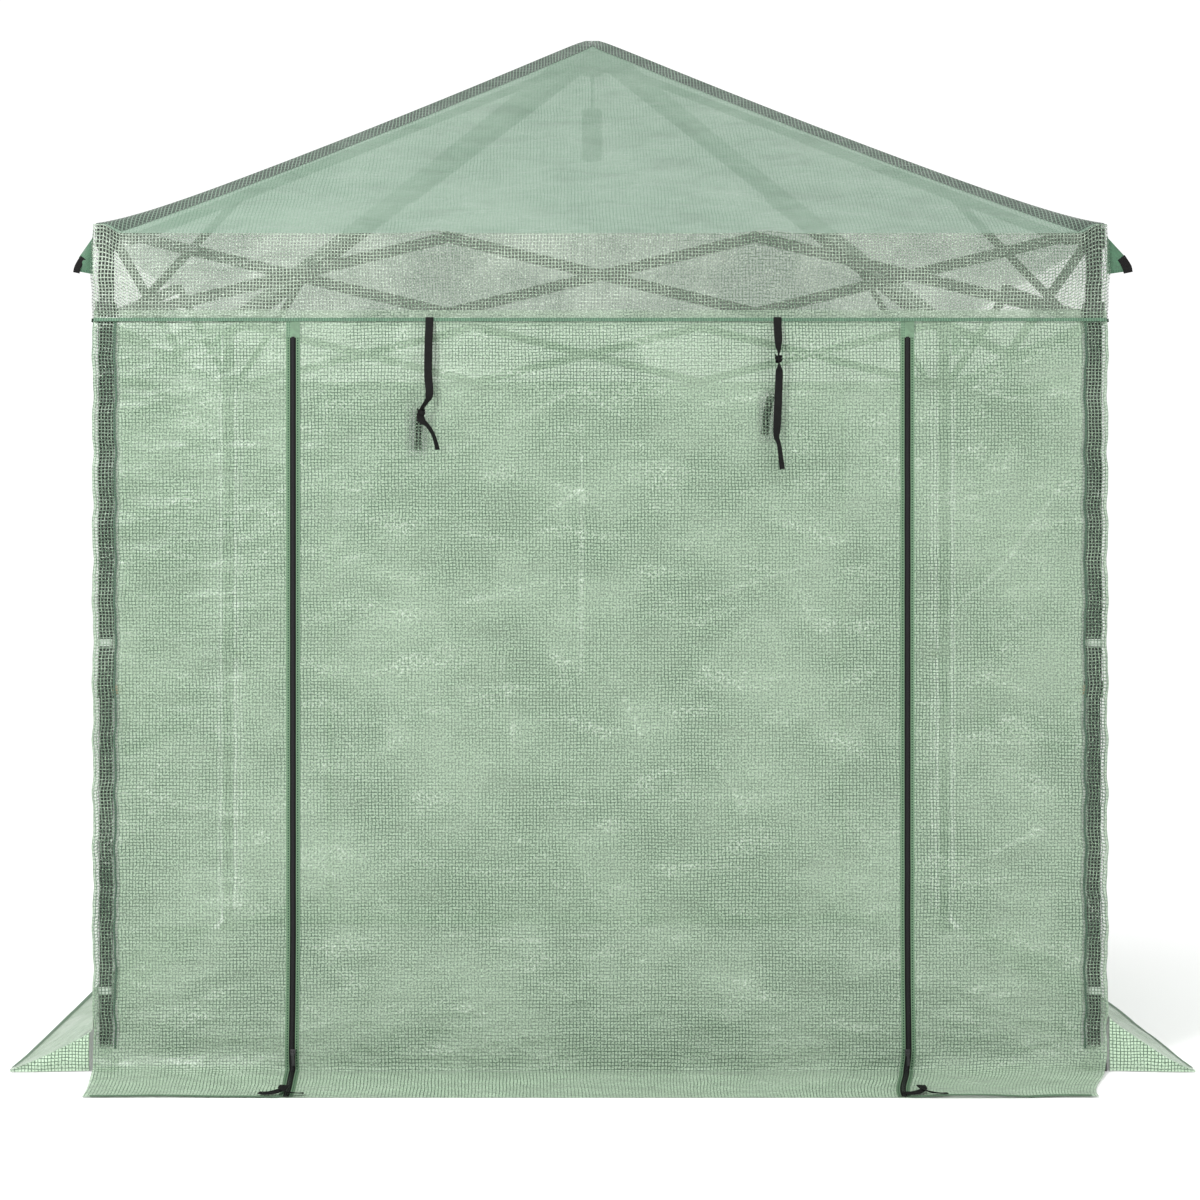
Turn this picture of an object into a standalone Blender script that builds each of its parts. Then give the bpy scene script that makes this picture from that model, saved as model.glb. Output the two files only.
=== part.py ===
"""Walk-in pop up greenhouse: a folding steel frame under a sewn cover. Metres, +Z up, front towards -Y."""

import math

import bmesh
import bpy
from mathutils import Matrix, Vector

# ---- driving dimensions ----
BAR_LENGTH = 0.760  # pivot to pivot
BAR_SPAN = 0.738  # one crossing, measured along the eave with the frame open
FRONT_CROSSINGS = 3
SIDE_CROSSINGS = 2
BRACKET_REACH = 0.075  # leg centre to truss pivot
TOP_PIVOT_Z = 1.990
BAR_THICK = 0.012
BAR_WIDE = 0.025
LAYER = 0.0068  # outer and inner bars sit this far either side of the truss plane
PIN_R = 0.004
HOLE_R = 0.0044
HEAD_R = 0.0075
HEAD_THICK = 0.0025

UPPER_TUBE = 0.030
UPPER_WALL = 0.0015
UPPER_BOTTOM_Z = 0.900
UPPER_TOP_Z = 2.003
COLLAR = 0.036
LOWER_TUBE = 0.0254
LOWER_TOP_Z = 1.120
FOOT = 0.048
FOOT_HIGH = 0.020

SLEEVE = 0.042
SLEEVE_HIGH = 0.050
SLEEVE_CLEAR = 0.0004
ARM_HIGH = 0.022

RAFTER_REACH = 0.062  # leg centre to rafter pivot, along the diagonal
RAFTER_THICK = 0.016
RAFTER_WIDE = 0.024
UPPER_RAFTER_THICK = 0.012
UPPER_RAFTER_WIDE = 0.020
STRUT_THICK = 0.010
STRUT_WIDE = 0.018
SIDE_GAP = 0.0005
MID_JOINT_REACH = 0.766  # leg centre to the rafter's middle joint, along the ground
HUB_REACH = 0.050
HUB_PIVOT_Z = 2.625
HUB_R = 0.030
MAST_R = 0.004
BLOCK_R = 0.0285
BLOCK_Z = (2.360, 2.500)

WALL_GAP = 0.0265  # leg centre to the middle of the cover
COVER = 0.002
EAVE_Z = 2.005
APEX_Z = 2.700
SKIRT = 0.215
SKIRT_Z = 0.001
DOOR_HALF = 0.720
DOOR_TOP_Z = 1.755
DOOR_STRIPS = 4
FOLD_PITCH = 0.004
ZIP_X = 0.730
ZIP_Z = 0.045
STRAP_X = 0.415
STRAP_WIDE = 0.019
STRAP_THICK = 0.002
STRAP_Z = (1.465, 1.785)

# ---- sizes that follow from them ----
LEG_X = FRONT_CROSSINGS * BAR_SPAN / 2 + BRACKET_REACH
LEG_Y = SIDE_CROSSINGS * BAR_SPAN / 2 + BRACKET_REACH
BAR_RISE = math.sqrt(BAR_LENGTH**2 - BAR_SPAN**2)
BAR_ANGLE = math.atan2(BAR_RISE, BAR_SPAN)
LOW_PIVOT_Z = TOP_PIVOT_Z - BAR_RISE
DIAGONAL = math.hypot(LEG_X, LEG_Y)
RAFTER_ANGLE = math.atan2(HUB_PIVOT_Z - TOP_PIVOT_Z, DIAGONAL - RAFTER_REACH - HUB_REACH)
LOWER_RAFTER = (MID_JOINT_REACH - RAFTER_REACH) / math.cos(RAFTER_ANGLE)
UPPER_RAFTER = (DIAGONAL - HUB_REACH - MID_JOINT_REACH) / math.cos(RAFTER_ANGLE)
FOLDED_REACH = BAR_LENGTH + 0.0015  # strut and rafter foot, nearly in line when the frame is shut
STRUT_AT = (FOLDED_REACH**2 - BAR_RISE**2) / (2 * FOLDED_REACH + 2 * BAR_RISE * math.sin(RAFTER_ANGLE))
STRUT = FOLDED_REACH - STRUT_AT
STRUT_ANGLE = math.atan2(BAR_RISE + STRUT_AT * math.sin(RAFTER_ANGLE), STRUT_AT * math.cos(RAFTER_ANGLE))
FRONT_Y = -(LEG_Y + WALL_GAP)
BACK_Y = LEG_Y + WALL_GAP
SIDE_X = LEG_X + WALL_GAP
STRIP = DOOR_TOP_Z / DOOR_STRIPS

# name: (x sign, y sign, direction of the truss that starts there, direction of the one that ends there)
CORNERS = {
    "front_left": (-1, -1, (1, 0), (0, -1)),
    "front_right": (1, -1, (0, 1), (1, 0)),
    "back_right": (1, 1, (-1, 0), (0, 1)),
    "back_left": (-1, 1, (0, -1), (-1, 0)),
}
# name: (corner it starts from, crossings)
TRUSSES = {
    "front": ("front_left", FRONT_CROSSINGS),
    "right": ("front_right", SIDE_CROSSINGS),
    "back": ("back_right", FRONT_CROSSINGS),
    "left": ("back_left", SIDE_CROSSINGS),
}

for old in list(bpy.data.objects):
    bpy.data.objects.remove(old, do_unlink=True)

parts = bpy.data.collections.new("pop_up_greenhouse")
cutters = bpy.data.collections.new("cutters")
bpy.context.scene.collection.children.link(parts)
bpy.context.scene.collection.children.link(cutters)


def material(name, colour, roughness, metallic=0.0):
    made = bpy.data.materials.new(name)
    made.use_nodes = True
    shader = made.node_tree.nodes["Principled BSDF"]
    shader.inputs["Base Color"].default_value = (*colour, 1)
    shader.inputs["Roughness"].default_value = roughness
    shader.inputs["Metallic"].default_value = metallic
    return made


STEEL = material("black_coated_steel", (0.03, 0.03, 0.033), 0.45, 0.6)
PLASTIC = material("black_moulded_plastic", (0.025, 0.025, 0.028), 0.55)
FILM = material("pale_green_film", (0.72, 0.83, 0.74), 0.35)
WEBBING = material("black_webbing", (0.02, 0.02, 0.02), 0.8)


def mesh_object(name, mesh, collection=parts):
    made = bpy.data.objects.new(name, mesh)
    collection.objects.link(made)
    return made


def paint(obj, look):
    obj.data.materials.clear()
    obj.data.materials.append(look)
    return obj


def box(name, low, high, collection=parts):
    """An upright box between two corners, in its object's own space."""
    bm = bmesh.new()
    bmesh.ops.create_cube(bm, size=1)
    size = [b - a for a, b in zip(low, high)]
    middle = [(a + b) / 2 for a, b in zip(low, high)]
    bmesh.ops.scale(bm, vec=size, verts=bm.verts)
    bmesh.ops.translate(bm, vec=middle, verts=bm.verts)
    mesh = bpy.data.meshes.new(name)
    bm.to_mesh(mesh)
    bm.free()
    return mesh_object(name, mesh, collection)


def rod(name, centre, axis, radius, length, sides=12, collection=parts, top=None):
    """A cylinder along an axis, or a cone if its far end has a radius of its own."""
    bm = bmesh.new()
    far = radius if top is None else top
    bmesh.ops.create_cone(
        bm, cap_ends=True, segments=sides, radius1=radius, radius2=far, depth=length
    )
    turn = Vector((0, 0, 1)).rotation_difference(Vector(axis)).to_matrix().to_4x4()
    bmesh.ops.transform(bm, matrix=Matrix.Translation(centre) @ turn, verts=bm.verts)
    mesh = bpy.data.meshes.new(name)
    bm.to_mesh(mesh)
    bm.free()
    return mesh_object(name, mesh, collection)


def combine(target, tools, operation):
    """Boolean each tool into the target in turn, and apply the result."""
    for tool in tools:
        if tool.name not in cutters.objects:
            parts.objects.unlink(tool)
            cutters.objects.link(tool)
        tool.hide_render = True
        tool.display_type = "WIRE"
        step = target.modifiers.new(operation.lower(), "BOOLEAN")
        step.operation = operation
        step.solver = "EXACT"
        step.object = tool
    bpy.context.view_layer.update()
    shown = target.evaluated_get(bpy.context.evaluated_depsgraph_get())
    done = bpy.data.meshes.new_from_object(shown)
    target.modifiers.clear()
    target.data = done
    for tool in tools:
        bpy.data.objects.remove(tool, do_unlink=True)
    return target


def rounded_bar(name, start, end, thick, wide, collection=parts):
    """A flat bar along X with round ends, from start to end between its pivots."""
    made = box(
        name,
        (start - wide / 2, -thick / 2, -wide / 2),
        (end + wide / 2, thick / 2, wide / 2),
        collection,
    )
    bm = bmesh.new()
    bm.from_mesh(made.data)
    corners = [e for e in bm.edges if abs((e.verts[0].co - e.verts[1].co).normalized().y) > 0.9]
    bmesh.ops.bevel(
        bm, geom=corners, offset=wide * 0.49, segments=4, profile=0.5, affect="EDGES"
    )
    bm.to_mesh(made.data)
    bm.free()
    return made


def outline_plate(name, points, half_thick):
    """A flat plate from an outline in its own XY plane, as a welded mesh."""
    curve = bpy.data.curves.new(name + "_outline", "CURVE")
    curve.dimensions = "2D"
    curve.fill_mode = "BOTH"
    curve.extrude = half_thick
    spline = curve.splines.new("POLY")
    spline.points.add(len(points) - 1)
    for point, place in zip(spline.points, points):
        point.co = (place[0], place[1], 0, 1)
    spline.use_cyclic_u = True
    holder = bpy.data.objects.new(name + "_outline", curve)
    cutters.objects.link(holder)
    bpy.context.view_layer.update()
    shown = holder.evaluated_get(bpy.context.evaluated_depsgraph_get())
    mesh = bpy.data.meshes.new_from_object(shown)
    bpy.data.objects.remove(holder, do_unlink=True)
    bm = bmesh.new()
    bm.from_mesh(mesh)
    bmesh.ops.remove_doubles(bm, verts=bm.verts, dist=0.00001)
    bmesh.ops.recalc_face_normals(bm, faces=bm.faces)
    bm.to_mesh(mesh)
    bm.free()
    return mesh_object(name, mesh)


def reshape(obj, matrix):
    """Move an object's mesh inside its own space."""
    obj.data.transform(matrix)
    obj.data.update()
    return obj


def joint_empty(name, place, azimuth=0.0):
    made = bpy.data.objects.new(name, None)
    made.empty_display_size = 0.05
    made.location = place
    made.rotation_euler = (0, 0, azimuth)
    parts.objects.link(made)
    return made


def inward(sx, sy):
    """The level direction from a leg to the centre, and the one to its left."""
    ahead = Vector((-sx * LEG_X, -sy * LEG_Y, 0)) / DIAGONAL
    return ahead, Vector((-ahead.y, ahead.x, 0))


def hand_of(sy):
    """The back corners have their struts and upper rafters on the other side of the rafter, so that the bars pass clear as the frame folds."""
    return 1 if sy < 0 else -1


def oriented(ahead, centre):
    """A matrix that carries X to a level direction, for shapes modelled along X."""
    turn = math.atan2(ahead.y, ahead.x)
    return Matrix.Translation(centre) @ Matrix.Rotation(turn, 4, "Z")


def rivet(name, y_from, y_to, x=0.0, z=0.0, head_at=None):
    """A pin along Y, with a head past y_to when asked for."""
    shaft = rod(name, (x, (y_from + y_to) / 2, z), (0, 1, 0), PIN_R, abs(y_to - y_from))
    found = [shaft]
    if head_at is not None:
        found.append(rod(name + "_head", (x, head_at, z), (0, 1, 0), HEAD_R, HEAD_THICK))
    return found


def hole(name, x, y, z, reach=0.03, radius=HOLE_R):
    return rod(name, (x, y, z), (0, 1, 0), radius, reach, collection=cutters)


# ---- truss bars ----
# Seen from outside, the outer bar of each crossing falls away from its start and the inner bar rises.
# The inner bar carries the rivets. The outer bar has the holes.
outer_face = -LAYER - BAR_THICK / 2
rivet_head_y = outer_face - 0.0004 - HEAD_THICK / 2


def outer_bar_mesh():
    made = rounded_bar("outer_bar", 0, BAR_LENGTH, BAR_THICK, BAR_WIDE)
    reshape(made, Matrix.Translation((0, -LAYER, 0)))
    holes = [hole("h", x, -LAYER, 0) for x in (0, BAR_LENGTH / 2, BAR_LENGTH)]
    combine(made, holes, "DIFFERENCE")
    return made


def inner_bar_mesh():
    made = rounded_bar("inner_bar", -BAR_LENGTH / 2, BAR_LENGTH / 2, BAR_THICK, BAR_WIDE)
    reshape(made, Matrix.Translation((0, LAYER, 0)))
    pins = []
    for x in (-BAR_LENGTH / 2, 0, BAR_LENGTH / 2):
        pins += rivet("pin", LAYER, rivet_head_y, x, 0, rivet_head_y)
    combine(made, pins, "UNION")
    return made


outer_bar = outer_bar_mesh()
inner_bar = inner_bar_mesh()
outer_mesh = outer_bar.data
inner_mesh = inner_bar.data
bpy.data.objects.remove(outer_bar, do_unlink=True)
bpy.data.objects.remove(inner_bar, do_unlink=True)
outer_mesh.materials.append(STEEL)
inner_mesh.materials.append(STEEL)

for side, (corner, crossings) in TRUSSES.items():
    sx, sy, along, _ = CORNERS[corner]
    along = Vector((*along, 0))
    azimuth = math.atan2(along.y, along.x)
    first = Vector((sx * LEG_X, sy * LEG_Y, TOP_PIVOT_Z)) + along * BRACKET_REACH
    for n in range(crossings):
        start = first + along * BAR_SPAN * n
        middle = start + along * BAR_SPAN / 2 - Vector((0, 0, BAR_RISE / 2))
        falling = mesh_object(f"{side}_bar_outer_{n + 1}", outer_mesh)
        falling.location = start
        falling.rotation_euler = (0, BAR_ANGLE, azimuth)
        rising = mesh_object(f"{side}_bar_inner_{n + 1}", inner_mesh)
        rising.location = middle
        rising.rotation_euler = (0, -BAR_ANGLE, azimuth)


# ---- legs, brackets and sliders ----
def truss_arm(direction, inner, reach_from, base_z, place):
    """One bracket arm beside the truss plane. The inner arm has its rivet, the outer arm a hole."""
    offset = LAYER if inner else -LAYER
    arm = box(
        "arm",
        (reach_from, offset - BAR_THICK / 2, -ARM_HIGH / 2),
        (BRACKET_REACH + 0.011, offset + BAR_THICK / 2, ARM_HIGH / 2),
    )
    if inner:
        combine(
            arm, rivet("pin", LAYER, rivet_head_y, BRACKET_REACH, 0, rivet_head_y), "UNION"
        )
    else:
        combine(arm, [hole("h", BRACKET_REACH, -LAYER, 0)], "DIFFERENCE")
    turn = Vector((*direction, 0))
    return reshape(arm, oriented(turn, (*place, base_z)))


def end_arm(direction, inner, reach_from, base_z, place):
    """The arm for a truss that ends at this leg: it points back along the truss."""
    offset = LAYER if inner else -LAYER
    arm = box(
        "arm",
        (-BRACKET_REACH - 0.011, offset - BAR_THICK / 2, -ARM_HIGH / 2),
        (-reach_from, offset + BAR_THICK / 2, ARM_HIGH / 2),
    )
    if inner:
        combine(
            arm, rivet("pin", LAYER, rivet_head_y, -BRACKET_REACH, 0, rivet_head_y), "UNION"
        )
    else:
        combine(arm, [hole("h", -BRACKET_REACH, -LAYER, 0)], "DIFFERENCE")
    turn = Vector((*direction, 0))
    return reshape(arm, oriented(turn, (*place, base_z)))


rafter_face = RAFTER_THICK / 2 + SIDE_GAP
strut_middle = rafter_face + STRUT_THICK / 2
upper_middle = -(rafter_face + UPPER_RAFTER_THICK / 2)


def diagonal_arm(ahead, face, thick, pin_to, base_z, place, reach):
    """An arm towards the centre, from one side offset and thick past it, with a rivet out to pin_to."""
    low, high = sorted((face, face + thick))
    arm = box("arm", (0.008, low, -0.010), (reach + 0.010, high, 0.010))
    middle = (low + high) / 2
    head = pin_to + math.copysign(HEAD_THICK / 2, pin_to - middle)
    combine(arm, rivet("pin", middle, head, reach, 0, head), "UNION")
    return reshape(arm, oriented(ahead, (*place, base_z)))


for corner, (sx, sy, starts, ends) in CORNERS.items():
    ahead, left = inward(sx, sy)
    hand = hand_of(sy)
    leg = (sx * LEG_X, sy * LEG_Y)
    half = UPPER_TUBE / 2
    cap = SLEEVE / 2

    upper = box(
        f"upper_leg_{corner}", (-half, -half, UPPER_BOTTOM_Z), (half, half, UPPER_TOP_Z)
    )
    fixed = [
        box("cap", (-cap, -cap, TOP_PIVOT_Z - 0.028), (cap, cap, UPPER_TOP_Z + 0.004)),
        box(
            "collar",
            (-COLLAR / 2, -COLLAR / 2, UPPER_BOTTOM_Z - 0.012),
            (COLLAR / 2, COLLAR / 2, UPPER_BOTTOM_Z + 0.028),
        ),
        rod("button", (0, sy * (COLLAR / 2), UPPER_BOTTOM_Z + 0.010), (0, sy, 0), 0.006, 0.006),
        truss_arm(starts, True, 0.018, TOP_PIVOT_Z, (0, 0)),
        end_arm(ends, False, 0.018, TOP_PIVOT_Z, (0, 0)),
        diagonal_arm(
            ahead, -hand * rafter_face, -hand * 0.008, hand * rafter_face, TOP_PIVOT_Z, (0, 0), RAFTER_REACH
        ),
    ]
    combine(upper, fixed, "UNION")
    bore = half - UPPER_WALL
    combine(
        upper,
        [
            box(
                "bore",
                (-bore, -bore, UPPER_BOTTOM_Z - 0.05),
                (bore, bore, UPPER_TOP_Z - 0.004),
                cutters,
            )
        ],
        "DIFFERENCE",
    )
    upper.location = (*leg, 0)
    paint(upper, STEEL)

    thin = LOWER_TUBE / 2
    lower = box(f"lower_leg_{corner}", (-thin, -thin, 0), (thin, thin, LOWER_TOP_Z))
    foot = box("foot", (-FOOT / 2, -FOOT / 2, 0), (FOOT / 2, FOOT / 2, FOOT_HIGH))
    combine(lower, [foot], "UNION")
    lower.location = (*leg, 0)
    paint(lower, STEEL)

    slider = box(
        f"slider_{corner}",
        (-cap, -cap, -SLEEVE_HIGH / 2),
        (cap, cap, SLEEVE_HIGH / 2),
    )
    arms = [
        truss_arm(starts, False, 0.018, 0, (0, 0)),
        end_arm(ends, True, 0.018, 0, (0, 0)),
        diagonal_arm(
            ahead,
            hand * (rafter_face - 0.0003),
            -hand * (rafter_face - 0.0003 + 0.004),
            hand * (rafter_face + STRUT_THICK + SIDE_GAP),
            0,
            (0, 0),
            RAFTER_REACH,
        ),
    ]
    combine(slider, arms, "UNION")
    run = half + SLEEVE_CLEAR
    combine(slider, [box("bore", (-run, -run, -0.1), (run, run, 0.1), cutters)], "DIFFERENCE")
    slider.location = (*leg, LOW_PIVOT_Z)
    paint(slider, PLASTIC)


# ---- roof frame ----
def lower_rafter_mesh(joined):
    """The foot of a rafter. Only the one that the hub is carried on has its middle rivet."""
    made = rounded_bar("lower_rafter", 0, LOWER_RAFTER, RAFTER_THICK, RAFTER_WIDE)
    combine(made, [hole("h", 0, 0, 0)], "DIFFERENCE")
    if joined:
        reach = -(rafter_face + UPPER_RAFTER_THICK + SIDE_GAP + HEAD_THICK / 2)
        combine(made, rivet("pin", 0, reach, LOWER_RAFTER, 0, reach), "UNION")
    paint(made, STEEL)
    return made


def upper_rafter_mesh(joined, hand):
    made = rounded_bar("upper_rafter", 0, UPPER_RAFTER, UPPER_RAFTER_THICK, UPPER_RAFTER_WIDE)
    reshape(made, Matrix.Translation((0, hand * upper_middle, 0)))
    places = (0, UPPER_RAFTER) if joined else (UPPER_RAFTER,)
    combine(made, [hole("h", x, hand * upper_middle, 0) for x in places], "DIFFERENCE")
    paint(made, STEEL)
    return made


def strut_mesh(hand):
    made = rounded_bar("strut", 0, STRUT, STRUT_THICK, STRUT_WIDE)
    reshape(made, Matrix.Translation((0, hand * strut_middle, 0)))
    combine(made, [hole("h", 0, hand * strut_middle, 0)], "DIFFERENCE")
    paint(made, STEEL)
    return made


for corner, (sx, sy, _, _) in CORNERS.items():
    ahead, left = inward(sx, sy)
    azimuth = math.atan2(ahead.y, ahead.x)
    leg = Vector((sx * LEG_X, sy * LEG_Y, 0))
    foot_pivot = leg + ahead * RAFTER_REACH
    carries_hub = corner == "front_left"

    lower = lower_rafter_mesh(carries_hub)
    lower.name = f"lower_rafter_{corner}"
    lower.location = foot_pivot + Vector((0, 0, TOP_PIVOT_Z))
    lower.rotation_euler = (0, -RAFTER_ANGLE, azimuth)

    upper = upper_rafter_mesh(carries_hub, hand_of(sy))
    upper.name = f"upper_rafter_{corner}"
    mid_joint = leg + ahead * MID_JOINT_REACH
    mid_joint.z = TOP_PIVOT_Z + LOWER_RAFTER * math.sin(RAFTER_ANGLE)
    upper.location = mid_joint
    upper.rotation_euler = (0, -RAFTER_ANGLE, azimuth)
    if not carries_hub:
        hub_end = leg + ahead * (DIAGONAL - HUB_REACH)
        hub_end.z = HUB_PIVOT_Z
        reshape(upper, Matrix.Translation((-UPPER_RAFTER, 0, 0)))
        upper.location = hub_end

    strut = strut_mesh(hand_of(sy))
    strut.name = f"strut_{corner}"
    strut.location = foot_pivot + Vector((0, 0, LOW_PIVOT_Z))
    strut.rotation_euler = (0, -STRUT_ANGLE, azimuth)

hub_z = HUB_PIVOT_Z
hub = rod("peak_hub", (0, 0, 0), (0, 0, 1), HUB_R, 0.044, 20)
hub_parts = [
    rod("dome", (0, 0, 0.030), (0, 0, 1), HUB_R, 0.020, 20, top=0.012),
    rod("mast", (0, 0, (BLOCK_Z[1] - 0.02 - hub_z) / 2), (0, 0, 1), MAST_R, hub_z - BLOCK_Z[1] + 0.02, 12),
    rod(
        "block",
        (0, 0, sum(BLOCK_Z) / 2 - hub_z),
        (0, 0, 1),
        BLOCK_R,
        BLOCK_Z[1] - BLOCK_Z[0],
        16,
    ),
]
upper_inner = abs(upper_middle) - UPPER_RAFTER_THICK / 2 - SIDE_GAP
upper_outer = abs(upper_middle) + UPPER_RAFTER_THICK / 2 + SIDE_GAP
for sx, sy, _, _ in CORNERS.values():
    ahead, left = inward(sx, sy)
    hand = hand_of(sy)
    hub_parts.append(
        diagonal_arm(
            -ahead, hand * upper_inner, -hand * 0.012, hand * upper_outer, 0, (0, 0), HUB_REACH
        )
    )
combine(hub, hub_parts, "UNION")
hub.location = (0, 0, hub_z)
paint(hub, PLASTIC)


# ---- cover ----
def wall_profile(length):
    """An upright wall with its ground skirt, running along X, outside towards -Y."""
    half = COVER / 2
    low = SKIRT_Z
    outline = [
        (half, low),
        (half, EAVE_Z),
        (-half, EAVE_Z),
        (-half, low + COVER),
        (-SKIRT, low + COVER),
        (-SKIRT, low),
    ]
    made = outline_plate("wall", outline, length / 2)
    return reshape(made, Matrix.Rotation(math.pi / 2, 4, "Z") @ Matrix.Rotation(math.pi / 2, 4, "X"))


def wall(name, centre, turn, length, skirt_length):
    made = wall_profile(length)
    made.name = name
    trims = []
    for side in (-1, 1):
        trims.append(
            box(
                "trim",
                (min(side * skirt_length / 2, side * 2), -1, -0.01),
                (max(side * skirt_length / 2, side * 2), -COVER / 2 - 0.0001, 0.02),
                cutters,
            )
        )
    combine(made, trims, "DIFFERENCE")
    reshape(made, Matrix.Translation((*centre, 0)) @ Matrix.Rotation(turn, 4, "Z"))
    return made


corner_clear = 0.0006
front = wall("wall_front_left", (0, FRONT_Y), 0, 2 * SIDE_X + COVER, 2 * LEG_X - 0.06)
doorway = box(
    "doorway",
    (-DOOR_HALF - 0.0005, FRONT_Y - 0.4, -0.05),
    (DOOR_HALF + 0.0005, FRONT_Y + 0.1, DOOR_TOP_Z - STRIP + 0.0005),
    cutters,
)
right_end = box(
    "right_end",
    (SIDE_X - COVER / 2 - corner_clear, FRONT_Y - 0.4, -0.05),
    (SIDE_X + 0.1, FRONT_Y + 0.1, 2.2),
    cutters,
)
combine(front, [doorway, right_end], "DIFFERENCE")
side_long = 2 * BACK_Y - COVER - 2 * corner_clear
left_wall = wall("left", (-SIDE_X, 0), -math.pi / 2, side_long, 2 * LEG_Y - 0.06)
bridge = box(
    "bridge",
    (-SIDE_X - COVER / 2, FRONT_Y - COVER / 2, 0.1),
    (-SIDE_X + COVER / 2, FRONT_Y + 0.01, EAVE_Z),
)
combine(front, [bridge, left_wall], "UNION")
front.location = (-LEG_X, -LEG_Y, 0)
reshape(front, Matrix.Translation((LEG_X, LEG_Y, 0)))
paint(front, FILM)

right = wall("wall_right", (SIDE_X, 0), math.pi / 2, side_long + corner_clear, 2 * LEG_Y - 0.06)
right.location = (LEG_X, -LEG_Y, 0)
reshape(right, Matrix.Translation((-LEG_X, LEG_Y, 0)))
paint(right, FILM)
back = wall("wall_back", (0, BACK_Y), math.pi, 2 * SIDE_X + COVER, 2 * LEG_X - 0.06)
back.location = (-LEG_X, LEG_Y, 0)
reshape(back, Matrix.Translation((LEG_X, -LEG_Y, 0)))
paint(back, FILM)


def gore(name, half_eave, run, azimuth):
    """One flat face of the roof, hinged along its eave. Azimuth 0 is the front face."""
    slope = math.hypot(run, APEX_Z - EAVE_Z)
    rise = math.atan2(APEX_Z - EAVE_Z, run)
    shy = 0.004
    taper = half_eave / slope
    edge = shy / math.cos(math.atan(taper))
    outline = [
        (-half_eave + shy * taper + edge, shy),
        (half_eave - shy * taper - edge, shy),
        (0, slope - edge / taper),
    ]
    made = outline_plate(name, outline, COVER / 2)
    made.name = name
    made.rotation_euler = (rise, 0, azimuth)
    place = Vector((0, -run, EAVE_Z + COVER / 2))
    place.rotate(Matrix.Rotation(azimuth, 3, "Z"))
    made.location = place
    paint(made, FILM)
    return made


gore("roof_front", SIDE_X, BACK_Y, 0)
gore("roof_right", BACK_Y, SIDE_X, math.pi / 2)
gore("roof_back", SIDE_X, BACK_Y, math.pi)
gore("roof_left", BACK_Y, SIDE_X, -math.pi / 2)

# Door strips, top down, each hung on its own fold line. The top strip stays up and belongs to the front wall.
gap = 0.0005
door_names = ("door_upper", "door_middle", "door_lower")
fold_y = (FRONT_Y - FOLD_PITCH / 2, FRONT_Y + FOLD_PITCH / 2, FRONT_Y - FOLD_PITCH)
for n, name in enumerate(door_names):
    top = DOOR_TOP_Z - STRIP * (n + 1)
    bottom = top - STRIP if n < 2 else SKIRT_Z
    strip = box(
        name,
        (-DOOR_HALF, FRONT_Y - COVER / 2 - fold_y[n], bottom + gap - top),
        (DOOR_HALF, FRONT_Y + COVER / 2 - fold_y[n], -gap),
    )
    strip.location = (0, fold_y[n], top)
    paint(strip, FILM)
skirt_fold = (FRONT_Y - COVER, SKIRT_Z + COVER / 2 + 0.002)
skirt = box(
    "door_skirt",
    (-DOOR_HALF, FRONT_Y - SKIRT - skirt_fold[0], SKIRT_Z - skirt_fold[1]),
    (DOOR_HALF, FRONT_Y - COVER / 2 - gap - skirt_fold[0], SKIRT_Z + COVER - skirt_fold[1]),
)
skirt.location = (0, *skirt_fold)
paint(skirt, FILM)

# Zip sliders, just outside the door's edges, and the tie straps.
for name, side in (("left", -1), ("right", 1)):
    face = FRONT_Y - COVER / 2 - 0.0006
    slide = box(f"zip_slider_{name}", (-0.006, face - 0.008, -0.010), (0.006, face, 0.010))
    tab = box("tab", (-0.004, face - 0.011, -0.030), (0.004, face - 0.0075, 0.004))
    combine(slide, [tab], "UNION")
    slide.location = (side * ZIP_X, 0, ZIP_Z)
    paint(slide, PLASTIC)
    front_face = FRONT_Y - 5 * FOLD_PITCH
    strap = box(
        f"tie_strap_{name}",
        (-STRAP_WIDE / 2, front_face - STRAP_THICK, STRAP_Z[0]),
        (STRAP_WIDE / 2, front_face, STRAP_Z[1]),
    )
    strap.location = (side * STRAP_X, 0, 0)
    paint(strap, WEBBING)

for made in parts.objects:
    if made.type == "MESH" and not made.name.startswith(("wall", "roof", "door")):
        made.data.shade_smooth()
        made.data.set_sharp_from_angle(angle=math.radians(35))
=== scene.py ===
"""Looks of the walk-in pop up greenhouse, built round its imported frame. Metres, +Z up, front towards -Y."""

import math

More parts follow.
